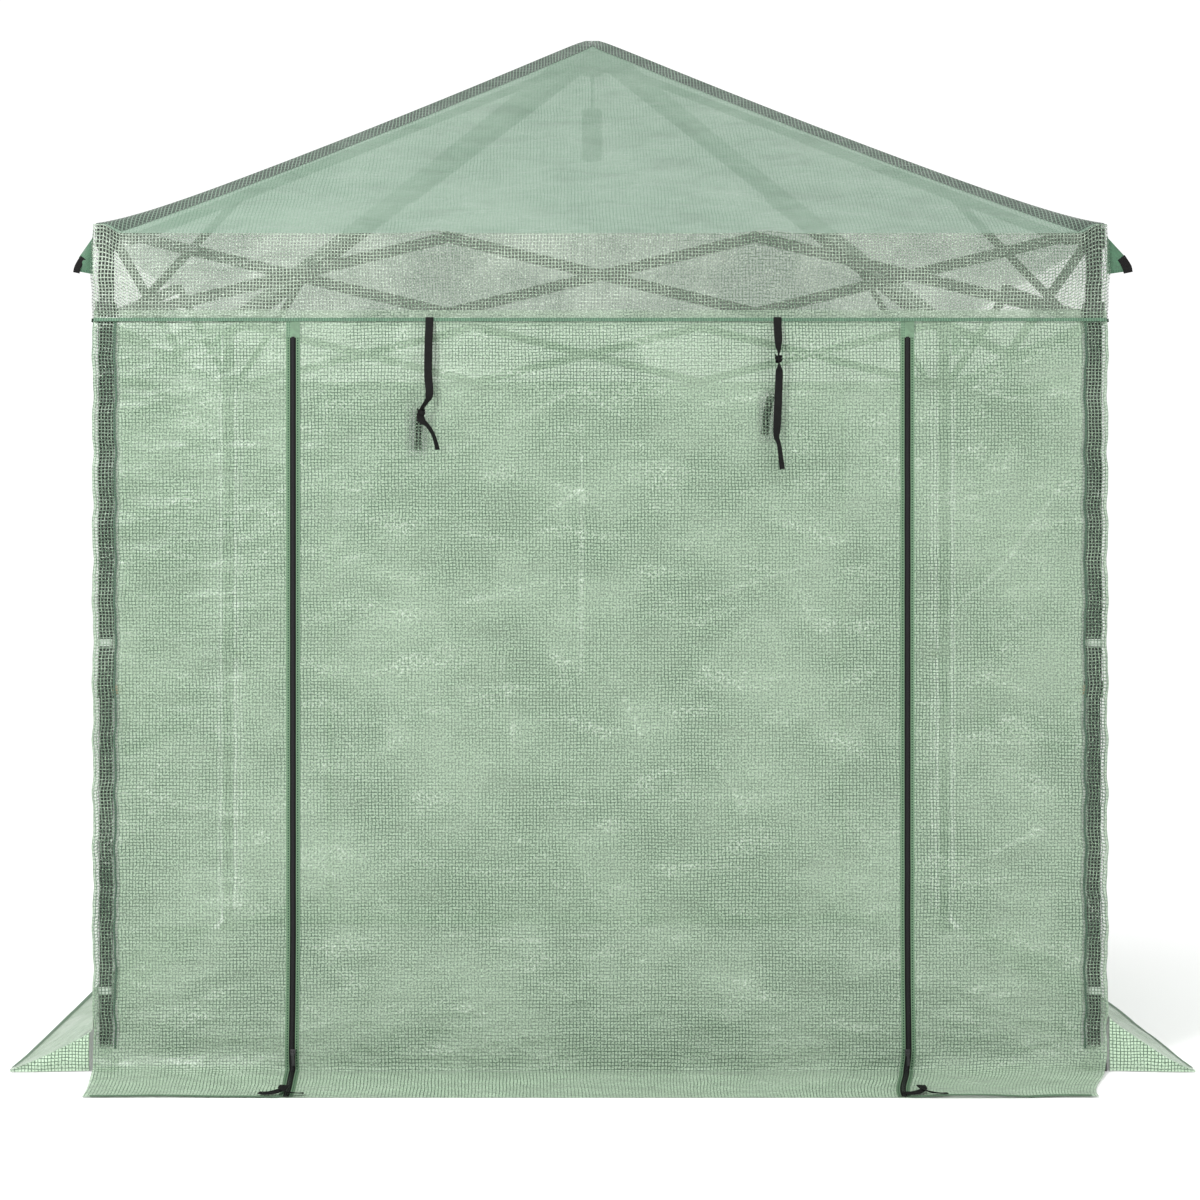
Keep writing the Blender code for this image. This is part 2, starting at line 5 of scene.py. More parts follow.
import bmesh
import bpy
import numpy as np
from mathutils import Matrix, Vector


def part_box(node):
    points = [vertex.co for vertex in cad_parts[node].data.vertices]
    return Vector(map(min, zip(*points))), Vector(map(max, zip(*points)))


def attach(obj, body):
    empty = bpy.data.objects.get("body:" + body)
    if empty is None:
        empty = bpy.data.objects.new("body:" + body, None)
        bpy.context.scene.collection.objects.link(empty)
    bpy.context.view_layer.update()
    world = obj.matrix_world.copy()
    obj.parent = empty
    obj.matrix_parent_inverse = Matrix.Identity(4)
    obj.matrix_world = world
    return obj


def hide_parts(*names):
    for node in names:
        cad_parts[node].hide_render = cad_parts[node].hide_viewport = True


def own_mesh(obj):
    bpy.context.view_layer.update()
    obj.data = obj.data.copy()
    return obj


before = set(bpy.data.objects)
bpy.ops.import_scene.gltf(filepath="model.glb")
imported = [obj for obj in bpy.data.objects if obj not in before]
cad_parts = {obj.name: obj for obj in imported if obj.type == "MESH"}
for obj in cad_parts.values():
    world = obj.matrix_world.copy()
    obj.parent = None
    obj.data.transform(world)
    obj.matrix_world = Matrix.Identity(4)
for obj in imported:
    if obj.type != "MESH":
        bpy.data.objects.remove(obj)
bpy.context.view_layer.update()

# ---- places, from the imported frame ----
leg_low, leg_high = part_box("lower_leg_front_right")
LEG_X = (leg_low.x + leg_high.x) / 2
LEG_Y = -(leg_low.y + leg_high.y) / 2
SIDE_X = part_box("wall_right")[0].x + 0.001
FRONT_Y = sum(c.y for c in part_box("door_upper")) / 2
EAVE_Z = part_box("wall_back")[1].z - 0.010
APEX_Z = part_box("roof_back")[1].z + 0.013
STRIP_TOPS = [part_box(n)[1].z + 0.0005 for n in ("door_upper", "door_middle", "door_lower")]
DOOR_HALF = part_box("door_upper")[1].x
ZIP_X = sum(c.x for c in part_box("zip_slider_right")) / 2
STRAP_X = sum(c.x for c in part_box("tie_strap_right")) / 2
STRAP_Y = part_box("tie_strap_right")[0].y
COLLAR_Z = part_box("upper_leg_front_right")[0].z + 0.020
HALF_DEPTH = -FRONT_Y

VALANCE_Z = 1.790
VALANCE_LIFT = 0.0035
WALL_TOP_Z = VALANCE_Z + 0.022
CORNER_RISE = 0.022
CORNER_R = 0.007
CORNER_ARC = CORNER_R * math.pi / 4
SEAM_X = 1.153
ZIP_TOP_Z = 1.748
TAIL_SPOTS = [(-STRAP_X - 0.018, 1.525, 0.026, 0.062), (STRAP_X - 0.014, 1.560, 0.026, 0.062)]
GRID = 0.0125  # mesh step of the front wall
PLAIN_GRID = 0.0135
VALANCE_GRID = 0.010
HIP_WIDE = 0.062
HIP_SHARE = 0.035  # of half the eave, at which a hip band reaches its full width
SEAM_HALF = 0.0028
SEAM_LOW_Z = 0.055
SEAM_TOP_Z = VALANCE_Z - 0.006
PANEL_SEAM_X = 0.85
PANEL_SEAM_HALF = 0.006
SKIRT_HEM_WIDE = 0.012
ZIP_TAPE_HALF = 0.0165
SKIRT_DEEP = 0.205
GUSSET_FLOOR = 0.0025
HANDS = ((-1, "left"), (1, "right"))


# ---- node helpers ----
class Nodes:
    """Short calls for making a shader tree."""

    def __init__(self, name):
        self.material = bpy.data.materials.new(name)
        self.material.use_nodes = True
        self.tree = self.material.node_tree
        self.shader = self.tree.nodes["Principled BSDF"]

    def add(self, kind, **settings):
        node = self.tree.nodes.new(kind)
        for key, value in settings.items():
            setattr(node, key, value)
        return node

    def put(self, socket, value):
        if isinstance(value, bpy.types.NodeSocket):
            self.tree.links.new(value, socket)
        else:
            socket.default_value = value

    def surface(self, name, value):
        """Joins a socket to the shader, or sets a plain number on it."""
        self.put(self.shader.inputs[name], value)

    def math(self, operation, a, b=0.0, c=0.0):
        node = self.add("ShaderNodeMath", operation=operation)
        for socket, value in zip(node.inputs, (a, b, c)):
            self.put(socket, value)
        return node.outputs[0]

    def ramp(self, value, low, high, to_low=0.0, to_high=1.0):
        node = self.add("ShaderNodeMapRange", interpolation_type="SMOOTHSTEP")
        self.put(node.inputs["Value"], value)
        node.inputs["From Min"].default_value = low
        node.inputs["From Max"].default_value = high
        node.inputs["To Min"].default_value = to_low
        node.inputs["To Max"].default_value = to_high
        return node.outputs["Result"]

    def mix(self, factor, a, b):
        node = self.add("ShaderNodeMix", data_type="RGBA")
        self.put(node.inputs["Factor"], factor)
        for socket, value in ((node.inputs[6], a), (node.inputs[7], b)):
            self.put(socket, (*value, 1) if isinstance(value, tuple) else value)
        return node.outputs[2]

    def noise(self, place, scale, detail=2.0, roughness=0.5, distortion=0.0):
        node = self.add("ShaderNodeTexNoise")
        self.put(node.inputs["Vector"], place)
        node.inputs["Scale"].default_value = scale
        node.inputs["Detail"].default_value = detail
        node.inputs["Roughness"].default_value = roughness
        node.inputs["Distortion"].default_value = distortion
        return node.outputs["Fac"]

    def cloth_place(self):
        """Place on the uncut cloth, in metres."""
        return self.add("ShaderNodeUVMap", uv_map="cloth").outputs["UV"]

    def object_place(self):
        return self.add("ShaderNodeTexCoord").outputs["Object"]

    def split(self, place):
        node = self.add("ShaderNodeSeparateXYZ")
        self.put(node.inputs[0], place)
        return node.outputs[0], node.outputs[1]

    def threads(self, along, pitch, share):
        """1 on the threads of one direction, 0 between them."""
        wave = self.math("PINGPONG", along, pitch / 2)
        return self.ramp(wave, pitch / 2 * (share - 0.12), pitch / 2 * (share + 0.12), 1.0, 0.0)

    def bump(self, height, strength, distance, under=None):
        node = self.add("ShaderNodeBump")
        self.put(node.inputs["Height"], height)
        node.inputs["Strength"].default_value = strength
        node.inputs["Distance"].default_value = distance
        if under is not None:
            self.put(node.inputs["Normal"], under)
        return node.outputs["Normal"]


def film_look(
    name,
    thread,
    pane,
    pale,
    clear,
    solid,
    grid=0.0080,
    ribbed=False,
    glints=0.55,
    rough=(0.48, 0.28),
    lively=0.35,
):
    """Reinforced film: a woven grid of threads between two clear layers, with white stress marks
    where it has been creased, painted white glints (painted highlights) on the ridges of its fold bands,
    and painted shade in the hollows of those bands.

    The clear attribute is 1 where the film lies against the frame and its windows go clearer,
    and -1 on the skirts, which are painted lighter: painted light where the flat skirts catch more light.
    """
    n = Nodes(name)
    place = n.cloth_place()
    across, along = n.split(place)
    sway = n.noise(place, 7.0, 2.0)
    shift = n.math("MULTIPLY", n.math("SUBTRACT", sway, 0.5), 0.014)
    tall = n.threads(n.math("ADD", across, shift), grid, 0.27)
    flat = n.threads(n.math("ADD", along, shift), grid, 0.12 if ribbed else 0.25)
    weave = n.math("MAXIMUM", tall, flat)
    cloud = n.noise(place, 3.4, 4.0, 0.6)
    streaks = n.add("ShaderNodeMapping")
    n.put(streaks.inputs["Vector"], place)
    streaks.inputs["Scale"].default_value = (2.6, 6.2, 1.0)
    streaks.inputs["Rotation"].default_value = (0.0, 0.0, 0.22)
    bands = n.noise(streaks.outputs[0], 2.3, 5.0, 0.62, 0.5)
    fine = n.noise(place, 150.0, 2.0, 0.7)
    crease = n.add("ShaderNodeAttribute", attribute_name="crease").outputs["Fac"]
    touch = n.add("ShaderNodeAttribute", attribute_name="clear").outputs["Fac"]
    # painted highlights: white glints on the ridges of the fold bands, joined below by white stress marks along
    # the creases
    painted_glint = n.math("MULTIPLY", n.ramp(fine, 0.46, 0.68), n.ramp(bands, 0.50, 0.70))
    marks = n.math("MULTIPLY", n.ramp(crease, 0.10, 0.90), n.ramp(fine, 0.40, 0.66, 0.0, 0.36))
    white = n.math(
        "MINIMUM",
        n.math(
            "ADD", n.math("MULTIPLY", painted_glint, glints), n.math("MULTIPLY", marks, n.ramp(bands, 0.30, 0.55))
        ),
        1.0,
    )
    # painted light: where clear is below 0 (the skirts) the panes get a lighter green, as if the flat skirts
    # caught more light
    ground = n.ramp(touch, -1.0, 0.0, 0.9, 0.0)
    cloth = n.mix(weave, n.mix(ground, pane, (0.58, 0.78, 0.56)), thread)
    # painted shade: darker colour in the hollows of the fold bands, the same bands that the bump raises
    painted_fold_shade = n.mix(n.ramp(bands, 0.30, 0.52, 0.30, 0.0), cloth, tuple(0.45 * c for c in pane))
    lighter = n.mix(n.math("MULTIPLY", n.ramp(cloud, 0.38, 0.66), 0.34), painted_fold_shade, pale)
    speckle = n.noise(place, 240.0, 2.0, 0.7)
    light = n.mix(n.ramp(speckle, 0.52, 0.66, 0.0, lively), lighter, tuple(1.6 * c for c in pane))
    worn = n.mix(n.ramp(speckle, 0.34, 0.48, lively, 0.0), light, tuple(0.4 * c for c in thread))
    # the painted highlights and the stress marks are mixed into the base colour here
    colour = n.mix(n.math("MULTIPLY", white, 0.75), worn, (0.62, 0.68, 0.60))
    n.surface("Base Color", colour)
    window = n.ramp(touch, 0.0, 1.0, clear, 0.03)
    open_ = n.math("MULTIPLY_ADD", weave, n.math("SUBTRACT", solid, window), window)
    cover = n.math("ADD", open_, n.math("MULTIPLY", white, 0.25))
    n.surface("Alpha", n.math("MINIMUM", cover, 0.99))
    n.surface("Roughness", n.ramp(bands, 0.3, 0.7, *rough))
    soft = n.bump(bands, 0.45, 0.012)
    facets = n.add("ShaderNodeTexVoronoi", feature="F1")
    bent = n.add("ShaderNodeVectorMath", operation="MULTIPLY_ADD")
    wobble = n.add("ShaderNodeTexNoise")
    n.put(wobble.inputs["Vector"], place)
    wobble.inputs["Scale"].default_value = 9.0
    n.put(bent.inputs[0], wobble.outputs["Color"])
    bent.inputs[1].default_value = (0.10, 0.06, 0.0)
    n.put(bent.inputs[2], streaks.outputs[0])
    n.put(facets.inputs["Vector"], bent.outputs[0])
    facets.inputs["Scale"].default_value = 3.6
    facets.inputs["Detail"].default_value = 1.0
    facets.inputs["Roughness"].default_value = 0.55
    crumple = n.bump(facets.outputs["Distance"], 0.85 * lively, 0.011, soft)
    crinkle = n.bump(n.noise(place, 38.0, 3.0, 0.6, 0.8), 0.50, 0.0034, crumple)
    n.surface("Normal", n.bump(weave, 0.35, 0.0005, crinkle))
    n.surface("Sheen Weight", 0.08)
    n.surface("Specular IOR Level", 0.50)
    return n.material


def webbing_look(name, dark, light, pitch=0.0022):
    n = Nodes(name)
    across, along = n.split(n.cloth_place())
    wave = n.math("PINGPONG", across, pitch / 2)
    rib = n.ramp(wave, 0.0, pitch / 2)
    pick = n.math("PINGPONG", n.math("ADD", along, wave), pitch * 0.45)
    knit = n.math("MULTIPLY", rib, n.ramp(pick, 0.0, pitch * 0.45))
    dust = n.noise(n.cloth_place(), 70.0, 3.0, 0.6)
    n.surface("Base Color", n.mix(n.math("MULTIPLY", knit, n.ramp(dust, 0.2, 0.8)), dark, light))
    n.surface("Roughness", n.ramp(dust, 0.3, 0.7, 0.70, 0.88))
    n.surface("Normal", n.bump(knit, 0.8, 0.0006))
    n.surface("Specular IOR Level", 0.18)
    return n.material


def steel_look(name, dark, light):
    n = Nodes(name)
    place = n.object_place()
    scuff = n.noise(place, 34.0, 6.0, 0.7)
    peel = n.noise(place, 620.0, 2.0, 0.5)
    n.surface("Base Color", n.mix(n.ramp(scuff, 0.52, 0.74), dark, light))
    n.surface("Roughness", n.ramp(scuff, 0.35, 0.72, 0.34, 0.56))
    n.surface("Normal", n.bump(peel, 0.25, 0.0004))
    n.surface("Metallic", 0.10)
    n.surface("Specular IOR Level", 0.22)
    n.surface("Coat Weight", 0.05)
    n.surface("Coat Roughness", 0.30)
    return n.material


def plastic_look(name, dark, light, grain=900.0):
    n = Nodes(name)
    place = n.object_place()
    tone = n.noise(place, 18.0, 4.0, 0.6)
    leather = n.noise(place, grain, 2.0, 0.6)
    n.surface("Base Color", n.mix(n.ramp(tone, 0.35, 0.75), dark, light))
    n.surface("Roughness", n.ramp(tone, 0.3, 0.7, 0.46, 0.62))
    n.surface("Normal", n.bump(leather, 0.35, 0.0003))
    n.surface("Specular IOR Level", 0.42)
    return n.material


def binding_look(name, base, stitch, pitch=0.0062, rows=(0.3, 0.7), wide=0.010):
    """A bound, stitched edge. The cloth place runs across the tape and along it."""
    n = Nodes(name)
    place = n.cloth_place()
    across, along = n.split(place)
    dash = n.ramp(n.math("PINGPONG", along, pitch / 2), pitch * 0.20, pitch * 0.27)
    seams = 0.0
    for row in rows:
        off = n.math("ABSOLUTE", n.math("SUBTRACT", across, row * wide))
        seams = n.math("MAXIMUM", seams, n.ramp(off, 0.0006, 0.0012, 1.0, 0.0))
    sewn = n.math("MULTIPLY", seams, dash)
    shade = n.noise(place, 60.0, 3.0, 0.6)
    tape = n.mix(n.ramp(shade, 0.3, 0.7), base, tuple(1.4 * c for c in base))
    n.surface("Base Color", n.mix(sewn, tape, stitch))
    n.surface("Roughness", n.ramp(shade, 0.3, 0.7, 0.55, 0.75))
    n.surface("Normal", n.bump(n.math("SUBTRACT", n.math("MULTIPLY", shade, 0.3), sewn), 0.6, 0.0006))
    n.surface("Alpha", 1.0)
    return n.material


def zip_look():
    """The coil, its black tape and the green binding on either side."""
    n = Nodes("zip_tape_and_coil")
    place = n.cloth_place()
    across, along = n.split(place)
    off = n.math("ABSOLUTE", across)
    tooth = n.ramp(n.math("PINGPONG", along, 0.0009), 0.0002, 0.0007)
    coil = n.ramp(off, 0.0030, 0.0036, 1.0, 0.0)
    tape = n.ramp(off, 0.0070, 0.0076, 1.0, 0.0)
    dash = n.ramp(n.math("PINGPONG", along, 0.0031), 0.0013, 0.0017)
    row = n.ramp(n.math("ABSOLUTE", n.math("SUBTRACT", off, 0.0112)), 0.0010, 0.0018, 1.0, 0.0)
    weave = n.noise(place, 400.0, 2.0)
    green = n.mix(n.math("MULTIPLY", row, dash), (0.105, 0.175, 0.108), (0.008, 0.032, 0.020))
    fabric = n.mix(tape, green, (0.005, 0.005, 0.005))
    metal = n.mix(tooth, (0.004, 0.004, 0.004), (0.022, 0.023, 0.024))
    n.surface("Base Color", n.mix(coil, fabric, metal))
    n.surface("Roughness", n.ramp(coil, 0.0, 1.0, 0.72, 0.38))
    height = n.math("ADD", n.math("MULTIPLY", coil, tooth), n.math("MULTIPLY", weave, 0.2))
    n.surface("Normal", n.bump(height, 0.7, 0.0008))
    n.surface("Specular IOR Level", 0.12)
    return n.material


FILM = film_look(
    "grid_film",
    (0.024, 0.062, 0.033),
    (0.268, 0.372, 0.258),
    (0.32, 0.41, 0.31),
    0.73,
    0.95,
    glints=0.55,
    lively=0.48,
)
ROOF_FILM = film_look(
    "roof_film",
    (0.086, 0.165, 0.108),
    (0.207, 0.308, 0.230),
    (0.25, 0.345, 0.27),
    0.70,
    0.90,
    grid=0.0085,
    ribbed=True,
    glints=0.10,
    lively=0.08,
)
VALANCE_FILM = film_look(
    "valance_film", (0.050, 0.095, 0.056), (0.520, 0.620, 0.500), (0.58, 0.68, 0.55), 0.12, 0.94, glints=0.45
)
HIP_FILM = film_look(
    "hip_band_film",
    (0.150, 0.225, 0.165),
    (0.018, 0.028, 0.022),
    (0.07, 0.11, 0.08),
    0.80,
    0.95,
    grid=0.0085,
    ribbed=True,
    glints=0.1,
    lively=0.1,
)
MESH_LOOK = film_look(
    "window_mesh",
    (0.045, 0.110, 0.065),
    (0.20, 0.29, 0.21),
    (0.27, 0.35, 0.28),
    0.12,
    0.92,
    grid=0.0030,
    glints=0.1,
)
GREEN_BINDING = binding_look("green_binding", (0.034, 0.072, 0.043), (0.006, 0.022, 0.014))
HEM_BINDING = binding_look("hem_binding", (0.070, 0.140, 0.085), (0.004, 0.028, 0.016), wide=0.008)
SKIRT_HEM = binding_look("skirt_hem_binding", (0.080, 0.140, 0.085), (0.020, 0.070, 0.040), wide=0.012)
TAB_GREEN = binding_look("tab_green", (0.030, 0.085, 0.045), (0.008, 0.040, 0.022))
ZIP_LOOK = zip_look()
WEBBING = webbing_look("black_webbing", (0.003, 0.003, 0.003), (0.013, 0.012, 0.012))
PALE_BAND = webbing_look("pale_band", (0.50, 0.58, 0.50), (0.80, 0.84, 0.78), 0.003)
STEEL = steel_look("black_coated_steel", (0.0075, 0.0080, 0.0085), (0.030, 0.031, 0.033))
PLASTIC = plastic_look("black_moulded_plastic", (0.010, 0.010, 0.011), (0.026, 0.026, 0.027))
ZIP_METAL = plastic_look("black_lacquered_metal", (0.008, 0.008, 0.009), (0.030, 0.030, 0.032), 400.0)
TAN_PLASTIC = plastic_look("tan_moulded_plastic", (0.22, 0.15, 0.085), (0.34, 0.25, 0.15), 500.0)

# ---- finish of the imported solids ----
for name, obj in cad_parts.items():
    plastic = name.startswith(("slider", "peak", "zip"))
    looks = obj.data.materials
    for i in range(max(1, len(looks))):
        if len(looks) > i:
            looks[i] = PLASTIC if plastic else STEEL
        else:
            looks.append(PLASTIC if plastic else STEEL)


# ---- cloth helpers ----
def put_in_scene(name, data):
    made = bpy.data.objects.new(name, data)
    bpy.context.scene.collection.objects.link(made)
    return made


def smooth(t):
    t = np.clip(t, 0.0, 1.0)
    return t * t * (3 - 2 * t)


def lattice(name, points, flat, look, crease=None, keep=None, clear=None):
    """A mesh from a grid of points, rows by columns. flat holds each point's place on the uncut cloth."""
    rows, cols = points.shape[:2]
    index = np.arange(rows * cols).reshape(rows, cols)
    faces = np.stack([index[:-1, :-1], index[:-1, 1:], index[1:, 1:], index[1:, :-1]], axis=-1)
    faces = faces[keep] if keep is not None else faces.reshape(-1, 4)
    used, renamed = np.unique(faces, return_inverse=True)
    faces = renamed.reshape(-1, 4)
    mesh = bpy.data.meshes.new(name)
    mesh.from_pydata(points.reshape(-1, 3)[used].tolist(), [], faces.tolist())
    uv = mesh.uv_layers.new(name="cloth")
    uv.data.foreach_set("uv", flat.reshape(-1, 2)[used][faces.ravel()].astype(np.float32).ravel())
    for kind, values in (("crease", crease), ("clear", clear)):
        marks = mesh.attributes.new(kind, "FLOAT", "POINT")
        values = np.zeros(rows * cols) if values is None else np.asarray(values, float).reshape(-1)
        marks.data.foreach_set("value", values[used].astype(np.float32))
    mesh.materials.append(look)
    mesh.shade_smooth()
    mesh.update()
    return put_in_scene(name, mesh)


def waves(seed, count, shortest, longest, level):
    """Random low waves: (kx, kz, phase, height).

    Level leans them towards lying flat, as film hung from an eave does.
    """
    chance = np.random.default_rng(seed)
    found = []
    for _ in range(count):
        length = shortest * (longest / shortest) ** chance.random()
        turn = math.pi / 2 + chance.normal() * level
        found.append(
            (
                2 * math.pi / length * math.cos(turn),
                2 * math.pi / length * math.sin(turn),
                chance.random() * 2 * math.pi,
                length,
            )
        )
    return found


def wave_sum(found, u, z, slope):
    total = np.zeros_like(u)
    for kx, kz, phase, length in found:
        gate = 0.5 + 0.5 * np.sin(0.37 * kz * u - 0.41 * kx * z + 2.1 * phase)
        total = total + slope * length / (2 * math.pi) * gate * np.sin(kx * u + kz * z + phase)
    return total


def ridge(u, z, path, wide, high):
    """(push, mark) of one crease along a path of (u, z) points, dying away towards its ends."""
    push, mark = np.zeros_like(u), np.zeros_like(u)
    lengths = [math.dist(a, b) for a, b in zip(path, path[1:])]
    whole, run = sum(lengths), 0.0
    for (a, b), long in zip(zip(path, path[1:]), lengths):
        du, dz = (b[0] - a[0]) / long, (b[1] - a[1]) / long
        t = np.clip((u - a[0]) * du + (z - a[1]) * dz, 0, long)
        away = np.hypot(u - a[0] - t * du, z - a[1] - t * dz)
        fade = np.sin(math.pi * np.clip((run + t) / whole, 0.02, 0.98)) ** 0.7
        near = np.exp(-((away / (wide * (0.5 + 0.5 * fade))) ** 2)) * fade
        line = np.exp(-((away / 0.006) ** 2)) * fade
        push, mark = np.maximum(push, near), np.maximum(mark, line)
        run += long
    return high * push, mark


def random_creases(seed, count, half, low, high):
    chance = np.random.default_rng(seed)
    found = []
    for _ in range(count):
        u, z = (chance.random() * 2 - 1) * half * 0.9, low + (high - low) * chance.random()
        turn, long = chance.normal() * 0.55, 0.12 + 0.35 * chance.random()
        bend = turn + chance.normal() * 0.3
        middle = (u + math.cos(turn) * long / 2, z + math.sin(turn) * long / 2)
        path = [
            (u, z), middle, (middle[0] + math.cos(bend) * long / 2, middle[1] + math.sin(bend) * long / 2)
        ]
        found.append((path, 0.012 + 0.014 * chance.random(), 0.0016 * chance.choice((-1, 1))))
    return found


FRONT_CREASES = [
    ([(0.00, 1.096), (0.252, 1.127), (0.673, 1.269)], 0.016, 0.0016),
    ([(0.760, 1.03), (0.951, 1.198), (1.144, 1.462)], 0.020, 0.0042),
    ([(0.00, 0.489), (0.504, 0.482), (0.700, 0.451)], 0.014, -0.0016),
    ([(0.760, 0.455), (0.93, 0.52), (1.144, 0.620)], 0.018, 0.0036),
    ([(-1.154, 1.560), (-0.985, 1.626), (-0.86, 1.64)], 0.018, 0.0040),
    ([(-0.900, 1.493), (-0.760, 1.490)], 0.013, 0.0030),
    ([(-0.272, 1.512), (-0.041, 1.631), (0.107, 1.505)], 0.020, 0.0018),
    ([(-0.215, 1.269), (-0.058, 1.379), (0.095, 1.265)], 0.018, -0.0016),
    ([(-0.041, 1.640), (-0.045, 1.20), (-0.050, 0.729)], 0.016, 0.0016),
    ([(-0.250, 1.065), (-0.212, 0.86), (-0.191, 0.682)], 0.014, -0.0014),
    ([(0.00, 1.003), (0.07, 0.86), (0.119, 0.741)], 0.014, 0.0014),
    ([(0.216, 0.825), (0.31, 0.69), (0.373, 0.549)], 0.014, 0.0014),
    ([(-1.166, 0.109), (-0.997, 0.151), (-0.780, 0.235)], 0.030, -0.0060),
    ([(-1.150, 0.150), (-1.06, 0.128), (-0.90, 0.085)], 0.022, 0.0050),
    ([(-0.66, 1.70), (-0.30, 1.655), (0.20, 1.69)], 0.020, 0.0016),
    ([(0.10, 1.56), (0.42, 1.615), (0.69, 1.60)], 0.018, -0.0016),
    ([(0.78, 1.66), (0.98, 1.600), (1.15, 1.62)], 0.018, 0.0030),
    ([(0.78, 1.34), (1.02, 1.40), (1.13, 1.36)], 0.016, -0.0030),
    ([(-1.10, 1.30), (-0.95, 1.26), (-0.78, 1.27)], 0.016, 0.0028),
    ([(-1.12, 0.98), (-0.96, 0.93), (-0.78, 0.95)], 0.018, -0.0028),
    ([(-1.15, 0.70), (-0.99, 0.63), (-0.77, 0.60)], 0.018, 0.0028),
    ([(0.80, 0.22), (0.96, 0.185), (1.13, 0.20)], 0.020, 0.0034),
    ([(-0.60, 0.36), (-0.22, 0.31), (0.25, 0.345)], 0.018, 0.0015),
    ([(-0.55, 0.87), (-0.30, 0.92), (0.00, 0.90)], 0.014, 0.0013),
]


def eave_rise(u, half):
    """How far the eave stands above its lowest line.

    It rises over the leg caps, and a little over the ends of the scissor bars.
    """
    corner = CORNER_RISE * (1 - smooth((half - np.abs(u) - 0.022) / 0.045))
    bars = LEG_X / 3 if half > 1 else 0.0
    return corner + 0.007 * np.exp(-(((np.abs(u) - bars) / 0.045) ** 2))


